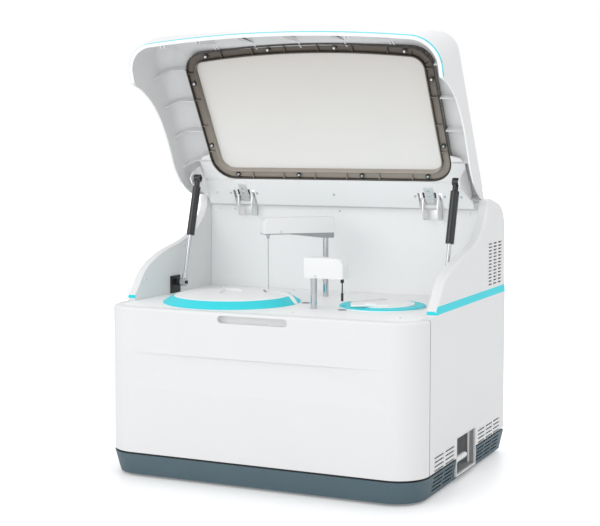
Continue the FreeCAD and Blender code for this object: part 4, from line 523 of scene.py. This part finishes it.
# Coloured line: a thin cyan strip pressed into the groove of the lid's free edge, along the front and round
# both corners.
lined = [c for c in columns if lip_share(c) > 0.5]
line_mesh = bmesh.new()
line_rows = [[on_shell(c, 0.05, edge_of(c) + 0.1) for c in lined],
             [on_shell(c, 0.05, edge_of(c) + strip_height - 0.1) for c in lined],
             [on_shell(c, 1.2, edge_of(c) + strip_height - 0.1) for c in lined],
             [on_shell(c, 1.2, edge_of(c) + 0.1) for c in lined]]
line_grid = sheet_through(line_mesh, line_rows + [line_rows[0]])
line_mesh.faces.new([row[0] for row in line_grid[:4]])
line_mesh.faces.new([row[-1] for row in line_grid[:4]])
finished("lid_colour_line", line_mesh, ON_LID, "lid", "cyan_trim", cyan_plastic, replaced=("lid_stripe",))


# Ribs inside the lid: thin plates moulded with the skin, which they stiffen. They run from the ring to the
# side wall and to the front, and pairs of small tabs stand on the lip.
def plate_between(mesh, outline, thick, axis):
    """A flat plate of even thickness, drawn by its outline and thickened from it along the given axis."""
    face = mesh.faces.new([mesh.verts.new(place) for place in outline])
    up = bmesh.ops.extrude_face_region(mesh, geom=[face])["geom"]
    shift = Vector((thick, 0, 0)) if axis == "X" else Vector((0, thick, 0))
    bmesh.ops.translate(mesh, verts=[v for v in up if isinstance(v, bmesh.types.BMVert)], vec=shift)
    return mesh


rib_mesh = bmesh.new()
ring_plane, ring_side = -11.8, 283.6
rib_round, rib_thick = 34.5, 2.5
for side in (-1, 1):
    for i in range(4):
        y = -324 + 75.5 * i
        foot = -58 if i == 0 else -42
        arc = [(309 + rib_round * math.sin(math.radians(a)), -27.9 + rib_round * math.cos(math.radians(a)))
               for a in range(0, 91, 10)]
        profile = [(ring_side, 6)] + arc + [(343.5, foot), (321, ring_plane), (ring_side, ring_plane)]
        plate_between(rib_mesh, [(side * x, y, z) for x, z in profile], rib_thick, "Y")
for x in (-198, -102, 0, 102, 198):
    column = min(columns, key=lambda c: abs(c[0] - x))
    arc = [rolled(column, 2.0, math.radians(a)) for a in range(70, -1, -7)]
    wall_end = on_shell(column, 2.0, -84)
    profile = [(p.y, p.z) for p in arc]
    profile += [(wall_end.y, -84), (wall_end.y + 22, -76), (-384, -13), (-372, -11)]
    for shift in (0, 7) if abs(x) == 198 else (0,):
        plate_between(rib_mesh, [(x + shift, y, z) for y, z in profile], rib_thick, "X")
for x in (-262, 150):
    for shift in (0, 9):
        column = min(columns, key=lambda c: abs(c[0] - x))
        low = edge_of(column)
        place = on_shell(column, 2.5, low + 3)
        tab = [(place.y, low + 2.6), (place.y + 13, low + 2.6), (place.y + 13, low + 9), (place.y, low + 14)]
        plate_between(rib_mesh, [(x + shift, y, z) for y, z in tab], 2.6, "X")
finished("lid_ribs", rib_mesh, ON_LID, "lid", "white_housing", white_plastic)

# Window ring: a smoked clear moulding that clamps the window to the lid. It is a channel with dark walls,
# cross ribs and round bosses for its screws.
# Its floor carries painted light and shade: painted lighter low in the room, where more light comes through,
# and darker towards its top.
def paint_light_by_height(finish, low, high, lower, upper):
    """Paints light and shade into a finish by its height in the room, from one colour to another between two
    heights.
    """
    nodes, links = finish.node_tree.nodes, finish.node_tree.links
    place = nodes.new("ShaderNodeTexCoord")
    split = nodes.new("ShaderNodeSeparateXYZ")
    links.new(place.outputs["Object"], split.inputs["Vector"])
    share = nodes.new("ShaderNodeMapRange")
    share.inputs["From Min"].default_value = low
    share.inputs["From Max"].default_value = high
    links.new(split.outputs["Z"], share.inputs["Value"])
    tint = nodes.new("ShaderNodeMix")
    tint.data_type = "RGBA"
    tint.inputs[6].default_value = (*lower, 1)
    tint.inputs[7].default_value = (*upper, 1)
    links.new(share.outputs["Result"], tint.inputs[0])
    links.new(tint.outputs[2], nodes["Principled BSDF"].inputs["Base Color"])


ring_lit_brown, ring_shaded_brown = (0.38, 0.335, 0.285), (0.1, 0.078, 0.06)
ring_floor = plastic("Smoked ring floor", ring_lit_brown, ring_shaded_brown, 0.25, relief=0.03, coat=0.3)
# Painted light and shade on the ring's floor: lighter low down, darker towards the top.
paint_light_by_height(ring_floor, 0.61, 0.84, ring_lit_brown, ring_shaded_brown)
# The ring's walls and bosses: smoked plastic that is dark of itself, made darker still by painted shade in the
# channel.
ring_smoke_and_shade = plastic("Smoked ring edge with painted shade", (0.035, 0.026, 0.018), (0.022, 0.016, 0.011), 0.25,
                    relief=0.03, coat=0.5)
ring_mesh = bmesh.new()
ring_top = 2.0
levels = [(0.2, ring_top, 1), (0.2, ring_plane + 0.6, 1), (0.8, ring_plane, 1), (2.2, ring_plane, 1),
          (2.8, ring_plane + 0.6, 1), (3.2, -5.6, 0), (18.4, -5.6, 1), (18.6, ring_plane + 0.6, 1),
          (19.2, ring_plane, 0), (21.2, ring_plane, 0), (21.8, ring_plane + 0.6, 0), (21.8, ring_top, 0),
          (0.2, ring_top, 1)]
for level, following in zip(levels, levels[1:]):
    rows = [[(x, y, z) for x, y in frame_plan(inset)] for inset, z in (level[:2], following[:2])]
    sheet_through(ring_mesh, rows, closed=True, index=level[2])
for x in (-188.75, -113.25, -37.75, 37.75, 113.25, 188.75):
    front_bend = x * x / (2 * ring_bow)
    for y_a, y_b in ((-52, -70), (-375 + front_bend, -357 + front_bend)):
        plate_between(ring_mesh, [(x, y_a, -6.8), (x, y_b, -6.8), (x, y_b, -10.2), (x, y_a, -10.2)], 1.8, "X")
for side in (-1, 1):
    for y in (-120, -185, -250, -315):
        plate_between(ring_mesh, [(side * 280, y, -6.8), (side * 263, y, -6.8), (side * 263, y, -10.2),
                                  (side * 280, y, -10.2)], 1.8, "Y")
finished("window_frame", ring_mesh, ON_LID, "lid", "smoked_plastic", ring_floor, ring_smoke_and_shade,
         replaced=("window_ring",))

# Screws of the ring and of the lid's flange: steel pan heads with a cross recess, those of the ring on round
# bosses.
screw_steel = metal("Screw steel", (0.8, 0.81, 0.82), 0.22)


def pan_head(mesh, radius, height, place):
    """A low domed head with a cross recess, its top at the end of its own Z axis."""
    made = bmesh.ops.create_cone(mesh, cap_ends=True, segments=20, radius1=radius, radius2=radius * 0.72,
                                 depth=height)["verts"]
    top = [face for face in {f for v in made for f in v.link_faces} if face.normal.z > 0.9]
    inner = bmesh.ops.inset_region(mesh, faces=top, thickness=radius * 0.3, depth=0)["faces"]
    bmesh.ops.inset_region(mesh, faces=top, thickness=radius * 0.05, depth=-height * 0.5)
    fresh = {v for face in top for v in face.verts} | set(made) | {v for face in inner for v in face.verts}
    bmesh.ops.transform(mesh, matrix=place, verts=list(fresh))


DOWN = Matrix.Rotation(math.pi, 4, "X")
ring_screw_y = ring_front + 11
ring_spots = [(x, -60.5) for x in (-225, -75, 75, 225)]
ring_spots += [(x, ring_screw_y + x * x / (2 * ring_bow)) for x in (-226, -75.5, 75.5, 226)]
ring_spots += [(side * 272, y) for side in (-1, 1) for y in (-134.5, -289)]
boss_mesh, head_mesh = bmesh.new(), bmesh.new()
for x, y in ring_spots:
    bmesh.ops.create_cone(boss_mesh, cap_ends=True, segments=24, radius1=5.4, radius2=5.0, depth=3.6,
                          matrix=Matrix.Translation((x, y, -8.2)))
    pan_head(head_mesh, 3.4, 1.6, Matrix.Translation((x, y, -10.6)) @ DOWN)
finished("window_bosses", boss_mesh, ON_LID, "lid", "smoked_plastic", ring_smoke_and_shade)
flange_spots = [(x, -12) for x in (-292, -255, -189, 0, 189, 255, 292)]
for x, y in flange_spots:
    pan_head(head_mesh, 3.3, 1.4, Matrix.Translation((x, y, ring_plane - 0.5)) @ DOWN)
finished("lid_screws", head_mesh, ON_LID, "lid", "bright_steel", screw_steel, replaced=("window_screws",))

# Window: a flat sheet of tinted clear plastic between the lid and the ring. Its colour holds painted light and
# shade:
# light low down, warmer and darker towards its upper edge.
pane_finish = bpy.data.materials.new("Window pane")
pane_finish.use_nodes = True
# Painted light and shade: light at the lower edge, warmer and darker at the upper edge.
paint_light_by_height(pane_finish, 0.62, 0.88, (0.86, 0.86, 0.84), (0.56, 0.52, 0.47))
pane_shader = pane_finish.node_tree.nodes["Principled BSDF"]
pane_shader.inputs["Roughness"].default_value = 0.1
pane_shader.inputs["Alpha"].default_value = 0.45
pane_mesh = prism(frame_plan(3), 1.2, 4.4)
finished("window_glazing", pane_mesh, ON_LID, "lid", "window", pane_finish, replaced=("window_pane",))

# Ends of the lid's rear flange: flat white sheet, screwed on beside the lower corners of the ring, out to the
# ears that carry the gas struts.
wing_mesh = bmesh.new()
for side in (-1, 1):
    bend = [(233.4 + 50 * math.cos(math.radians(a)), -99.5 + 50 * math.sin(math.radians(a)))
            for a in range(0, 91, 6)]
    outline = [(283.4, -112)] + bend + [(233.4, -46), (311.8, -46), (311.8, -94), (303, -106)]
    face = wing_mesh.faces.new([wing_mesh.verts.new((side * x, y, ring_plane)) for x, y in outline])
    up = bmesh.ops.extrude_face_region(wing_mesh, geom=[face])["geom"]
    moved = [v for v in up if isinstance(v, bmesh.types.BMVert)]
    bmesh.ops.translate(wing_mesh, verts=moved, vec=(0, 0, 3))
finished("flange_ends", wing_mesh, ON_LID, "lid", "white_housing", inner_white_painted_bright)

# Lid hinges: brackets of folded bright steel on the back wall, a turned pin through both cheeks, and a leaf
# on the pin that is screwed to the lid's flange.
bright_steel = metal("Bright folded steel", (0.9, 0.9, 0.9), 0.4)
IN_ROOM = MILLIMETRE
HINGE_X = 221.5


def block(mesh, low, high, bevel=0.0, place=Matrix.Identity(4)):
    """A block between two corners, with its edges rounded off."""
    size = [b - a for a, b in zip(low, high)]
    middle = [(a + b) / 2 for a, b in zip(low, high)]
    shape = Matrix.Translation(middle) @ Matrix.Diagonal((*size, 1))
    verts = bmesh.ops.create_cube(mesh, size=1, matrix=shape)["verts"]
    if bevel:
        edges = list({edge for v in verts for edge in v.link_edges})
        made = bmesh.ops.bevel(mesh, geom=edges, offset=bevel, offset_type="OFFSET", segments=3, profile=0.5,
                               affect="EDGES", material=-1, clamp_overlap=True)
        verts = list({v for v in made["verts"]} | {v for v in verts if v.is_valid})
    bmesh.ops.transform(mesh, matrix=place, verts=verts)
    return verts


bracket_mesh = bmesh.new()
CHEEK = [(158.5, 516), (158.5, 538), (151, 562), (149, 569), (145, 571), (139, 571), (135, 569), (131, 563),
         (128.2, 545), (128.2, 530), (133, 519), (138, 516)]
for side in (-1, 1):
    middle = side * HINGE_X
    for edge_x in (middle - 18, middle + 15.5):
        plate_between(bracket_mesh, [(edge_x, y, z) for y, z in CHEEK], 2.5, "X")
    block(bracket_mesh, (middle - 18, 156.2, 516), (middle + 18, 158.5, 538), 0.4)
finished("hinge_folded_brackets", bracket_mesh, IN_ROOM, "housing", "bright_steel", bright_steel,
         replaced=("hinge_brackets",))
pin_mesh, leaf_mesh = bmesh.new(), bmesh.new()
ALONG_X = Matrix.Rotation(math.pi / 2, 4, "Y")
for side in (-1, 1):
    middle = side * HINGE_X
    pin_place = Matrix.Translation((middle, hinge_y, hinge_z)) @ ALONG_X
    bmesh.ops.create_cone(pin_mesh, cap_ends=True, segments=24, radius1=3, radius2=3, depth=39,
                          matrix=pin_place)
    for end in (-1, 1):
        head_place = Matrix.Translation((middle + end * 19.2, hinge_y, hinge_z)) @ ALONG_X
        bmesh.ops.create_cone(pin_mesh, cap_ends=True, segments=24, radius1=4.2, radius2=4.2, depth=1.6,
                              matrix=head_place)
    block(leaf_mesh, (middle - 10, -36, ring_plane - 2.4), (middle + 10, 4, ring_plane - 0.1), 0.8)
    block(leaf_mesh, (middle - 8, -4, ring_plane - 1), (middle + 8, 4, 0), 0.8)
    bmesh.ops.create_cone(leaf_mesh, cap_ends=True, segments=28, radius1=6.8, radius2=6.8, depth=29,
                          matrix=Matrix.Translation((middle, 0, 0)) @ ALONG_X)
    for ring_y in (-27, -15):
        bmesh.ops.create_cone(leaf_mesh, cap_ends=True, segments=24, radius1=4.4, radius2=4.0, depth=0.8,
                              matrix=Matrix.Translation((middle, ring_y, ring_plane - 2.7)) @ DOWN)
finished("hinge_pins_turned", pin_mesh, IN_ROOM, "housing", "bright_steel", polished_steel,
         replaced=("hinge_pins",))
finished("hinge_leaves", leaf_mesh, ON_LID, "lid", "bright_steel", bright_steel,
         replaced=("lid_hinge_leaves",))
leaf_screws, slot_shade_mesh = bmesh.new(), bmesh.new()
for side in (-1, 1):
    middle = side * HINGE_X
    for ring_y in (-27, -15):
        pan_head(leaf_screws, 3.0, 1.0, Matrix.Translation((middle, ring_y, ring_plane - 3.2)) @ DOWN)
    # The slots in each leaf are not cut: thin black blocks on the leaf are painted shade where the slots would
    # show dark.
    for start_x in (middle - 15.2, middle + 10.9):
        block(slot_shade_mesh, (start_x, -22, ring_plane - 0.2), (start_x + 4.3, -8, ring_plane + 1), 0.2)
finished("leaf_screws", leaf_screws, ON_LID, "lid", "bright_steel", screw_steel)
finished("leaf_slot_shade", slot_shade_mesh, ON_LID, "lid", "dark_plastic", black_plastic)

# Cover of the sample disk: a shallow round moulding that lifts off, with a cyan rim, a raised bar across one
# side, a sunk grip beside it and a hole for the probe.
SAMPLE_X, SAMPLE_Y, DECK = -135, -100, 351


def turned(mesh, profile, centre, steps=96):
    """Spins a profile of radius and height round an upright axis."""
    verts = [mesh.verts.new((radius, 0, z)) for radius, z in profile]
    edges = [mesh.edges.new(pair) for pair in zip(verts, verts[1:])]
    bmesh.ops.spin(mesh, geom=verts + edges, cent=(0, 0, 0), axis=(0, 0, 1), angle=2 * math.pi, steps=steps,
                   use_merge=True, use_duplicate=False)
    bmesh.ops.remove_doubles(mesh, verts=mesh.verts, dist=0.0001)
    bmesh.ops.translate(mesh, verts=mesh.verts, vec=centre)


dish_mesh = bmesh.new()
turned(dish_mesh, [(0, 15), (118, 15), (120.5, 14.7), (121.6, 13.8), (121.8, 12.4), (143.0, 0.15),
                   (138.8, 0.15), (120.5, 10), (0, 10)], (SAMPLE_X, SAMPLE_Y, DECK))
dish = finished("sample_cover_dish", dish_mesh, IN_ROOM, "housing", "white_housing", inner_white_painted_bright,
                replaced=("sample_disk_cover",))
GRIP = [(-36, 6), (-58, 78), (-40, 92), (-14, 74), (8, 14), (-4, -4), (-22, -6)]
carved(dish, [(SAMPLE_X + x, SAMPLE_Y + y) for x, y in reversed(GRIP)], DECK + 11.4, DECK + 20, IN_ROOM)
SLOT = [(24, 104), (28, 88), (52, 54), (52, 66)]
carved(dish, [(SAMPLE_X + x, SAMPLE_Y + y) for x, y in SLOT], DECK + 5, DECK + 20, IN_ROOM)
PROBE_HOLE = [(47 + 5 * math.cos(math.radians(a)), 77.1 + 5 * math.sin(math.radians(a)))
              for a in range(0, 360, 15)]
carved(dish, [(SAMPLE_X + x, SAMPLE_Y + y) for x, y in PROBE_HOLE], DECK + 5, DECK + 20, IN_ROOM)
rim_mesh = bmesh.new()
turned(rim_mesh, [(122, 12), (122, 14), (122.6, 14.3), (144.2, 1.6), (144.4, 1.0), (144.4, 0.1), (143.2, 0.1),
                  (122, 12)], (SAMPLE_X, SAMPLE_Y, DECK))
finished("sample_cover_colour", rim_mesh, IN_ROOM, "housing", "cyan_trim", cyan_plastic,
         replaced=("sample_cover_rim",))
bar_mesh = bmesh.new()
bar_start = Matrix.Translation((SAMPLE_X + 51.2, SAMPLE_Y + 82, DECK))
bar_turn = Matrix.Rotation(math.radians(-41), 4, "Z")
bar_profile = [(0, 13), (0, 16.9), (84, 16.9), (92, 16.3), (120.5, 2.4), (120.5, 0.4), (117, 0.4), (90, 12.6)]
face = bar_mesh.faces.new([bar_mesh.verts.new((x, 0, z)) for x, z in bar_profile])
up = bmesh.ops.extrude_face_region(bar_mesh, geom=[face])["geom"]
moved = [v for v in up if isinstance(v, bmesh.types.BMVert)]
bmesh.ops.translate(bar_mesh, verts=moved, vec=(0, 9, 0))
bmesh.ops.recalc_face_normals(bar_mesh, faces=bar_mesh.faces)
bmesh.ops.bevel(bar_mesh, geom=bar_mesh.edges[:], offset=0.8, offset_type="OFFSET", segments=2, profile=0.5,
                affect="EDGES", material=-1, clamp_overlap=True)
bar_mesh.transform(bar_start @ bar_turn)
finished("sample_cover_bar", bar_mesh, IN_ROOM, "housing", "white_housing", inner_white_painted_bright)

# Handles of the reaction cover: two low white grips moulded on its top, the front one with a raised hub for
# the thumb.
REACTION_X, REACTION_Y = 186, -53
grip_mesh = bmesh.new()
front_grip = Matrix.Translation((REACTION_X - 2.7, REACTION_Y - 62, DECK + 7))
front_grip = front_grip @ Matrix.Rotation(math.radians(25), 4, "Z")
rear_grip = Matrix.Translation((REACTION_X - 38, REACTION_Y + 34, DECK + 7))
rear_grip = rear_grip @ Matrix.Rotation(math.radians(49), 4, "Z")
block(grip_mesh, (-38, -5, 0), (38, 5, 3.4), 1.3, front_grip)
block(grip_mesh, (-11, -4, 0), (11, 13, 6.4), 2.0, front_grip)
block(grip_mesh, (-56, -3.5, 0), (34, 3.5, 3.6), 1.2, rear_grip)
finished("reaction_cover_grips", grip_mesh, IN_ROOM, "housing", "white_housing", inner_white_painted_bright,
         replaced=("reaction_cover_handle",))


# Arm covers: white moulded hoods over the arms on the two posts, rounded at their free end. Each is held by
# one screw low on its side.
def hood(mesh, back, ahead, low, high, half, nose, place):
    """A block-shaped hood with a large rounding over its free end and softened edges."""
    arc = [(ahead - nose + nose * math.sin(math.radians(a)), high - nose + nose * math.cos(math.radians(a)))
           for a in range(0, 91, 15)]
    outline = [(back, low), (back, high)] + arc + [(ahead, low)]
    face = mesh.faces.new([mesh.verts.new((x, -half, z)) for x, z in outline])
    up = bmesh.ops.extrude_face_region(mesh, geom=[face])["geom"]
    moved = [v for v in up if isinstance(v, bmesh.types.BMVert)]
    bmesh.ops.translate(mesh, verts=moved, vec=(0, 2 * half, 0))
    bmesh.ops.recalc_face_normals(mesh, faces=mesh.faces)
    soft = [edge for edge in mesh.edges if max(v.co.z for v in edge.verts) > low + 1
            and (edge.calc_face_angle(0) > 0.5)]
    bmesh.ops.bevel(mesh, geom=soft, offset=3.4, offset_type="OFFSET", segments=4, profile=0.5,
                    affect="EDGES", material=-1, clamp_overlap=True)
    mesh.transform(place)
    return mesh


SAMPLE_POST, MIXER_POST = (9.2, 60.1, 0), (72.2, -140.7, 0)
sample_arm_place = Matrix.Translation(SAMPLE_POST) @ Matrix.Rotation(math.radians(-139.5), 4, "Z")
mixer_arm_place = Matrix.Translation(MIXER_POST)
sample_hood = hood(bmesh.new(), -16.5, 142, 490.1, 523.8, 16.9, 13, sample_arm_place)
finished("sample_arm_hood", sample_hood, IN_ROOM, "sample_arm", "white_housing", hood_white_painted_bright,
         replaced=("sample_arm_cover",))
mixer_hood = hood(bmesh.new(), -16, 69.9, 414.2, 454.9, 16.9, 16, mixer_arm_place)
finished("mixer_arm_hood", mixer_hood, IN_ROOM, "mixer_arm", "white_housing", hood_white_painted_bright,
         replaced=("mixer_arm_cover",))
arm_screws = bmesh.new()
FACING_FRONT = Matrix.Rotation(math.pi / 2, 4, "X")
pan_head(arm_screws, 2.6, 1.2, Matrix.Translation((83, -157.8, 418.5)) @ FACING_FRONT)
finished("mixer_arm_screw", arm_screws, IN_ROOM, "mixer_arm", "bright_steel", screw_steel)
arm_screws = bmesh.new()
FACING_BACK = Matrix.Rotation(-math.pi / 2, 4, "X")
pan_head(arm_screws, 2.6, 1.2, sample_arm_place @ Matrix.Translation((104, 17.1, 494)) @ FACING_BACK)
finished("sample_arm_screw", arm_screws, IN_ROOM, "sample_arm", "bright_steel", screw_steel)

# Screws in the work area: steel pan heads that hold its covers, two in each side wall, five along the top of
# the back wall and a few in the deck.
area_screws = bmesh.new()
for x in (-300, -262, 0, 262, 300):
    pan_head(area_screws, 3.2, 1.4, Matrix.Translation((x, 158.0, 530)) @ FACING_FRONT)
for side in (-1, 1):
    for y, z in ((36.5, 452), (-132.5, 394)):
        turn = Matrix.Rotation(-side * math.pi / 2, 4, "Y")
        pan_head(area_screws, 3.2, 1.4, Matrix.Translation((side * 324.5, y, z)) @ turn)
for x, y in ((-104, 138), (136, 56), (-290, 138), (290, 138), (60, -215), (280, -200)):
    pan_head(area_screws, 2.8, 1.2, Matrix.Translation((x, y, 351.4)))
finished("work_area_screws", area_screws, IN_ROOM, "housing", "bright_steel", screw_steel)

# Connection bay: a barbed white nozzle for a hose on the front side of its frame and an upright ridge on the
# rear side, moulded with the frame.
nozzle_mesh = bmesh.new()
turned(nozzle_mesh, [(0, 0), (9, 0), (9, 3), (6, 3), (6, 46), (5.2, 48), (6.2, 50), (5.2, 58), (6.2, 60),
                     (5.2, 68), (6, 70), (4.6, 78), (3, 80), (0, 80)], (0, 0, 0), 32)
nozzle_mesh.transform(Matrix.Translation((336, -46, 43)) @ FACING_BACK)
block(nozzle_mesh, (328, 68.5, 16.2), (332, 73.4, 90.8), 1.0)
finished("bay_nozzle", nozzle_mesh, IN_ROOM, "housing", "white_housing", hood_white_painted_bright)

# Shadow joint: a black strip set back in the gap between the base tray and the covers above it, painted shade
# that stands for the dark inside the gap.
# It stops at the connection bay.
gap_shade_mesh = bmesh.new()


def cover_plan(inset):
    """The plan of the housing in a loop, with its rounded front corners, moved inwards."""
    x, y, radius = 345 - inset, 275 - inset, 65 - inset
    plan = [(x, 79), (x, y), (-x, y)]
    for centre_x, start in ((-(x - radius), 180), (x - radius, 270)):
        plan += [(centre_x + radius * math.cos(math.radians(start + a)),
                  -(y - radius) + radius * math.sin(math.radians(start + a))) for a in range(0, 91, 9)]
    return plan + [(x, -52)]


gap_shade_rows = [[(x, y, z) for x, y in cover_plan(inset)] for inset, z in
              ((3.2, 47.0), (3.2, 53.0), (6.0, 53.0), (6.0, 47.0), (3.2, 47.0))]
gap_shade_grid = sheet_through(gap_shade_mesh, gap_shade_rows)
for end in (0, -1):
    gap_shade_mesh.faces.new([row[end] for row in gap_shade_grid[:4]])
finished("gap_painted_shade", gap_shade_mesh, IN_ROOM, "housing", "dark_rubber", black_plastic)
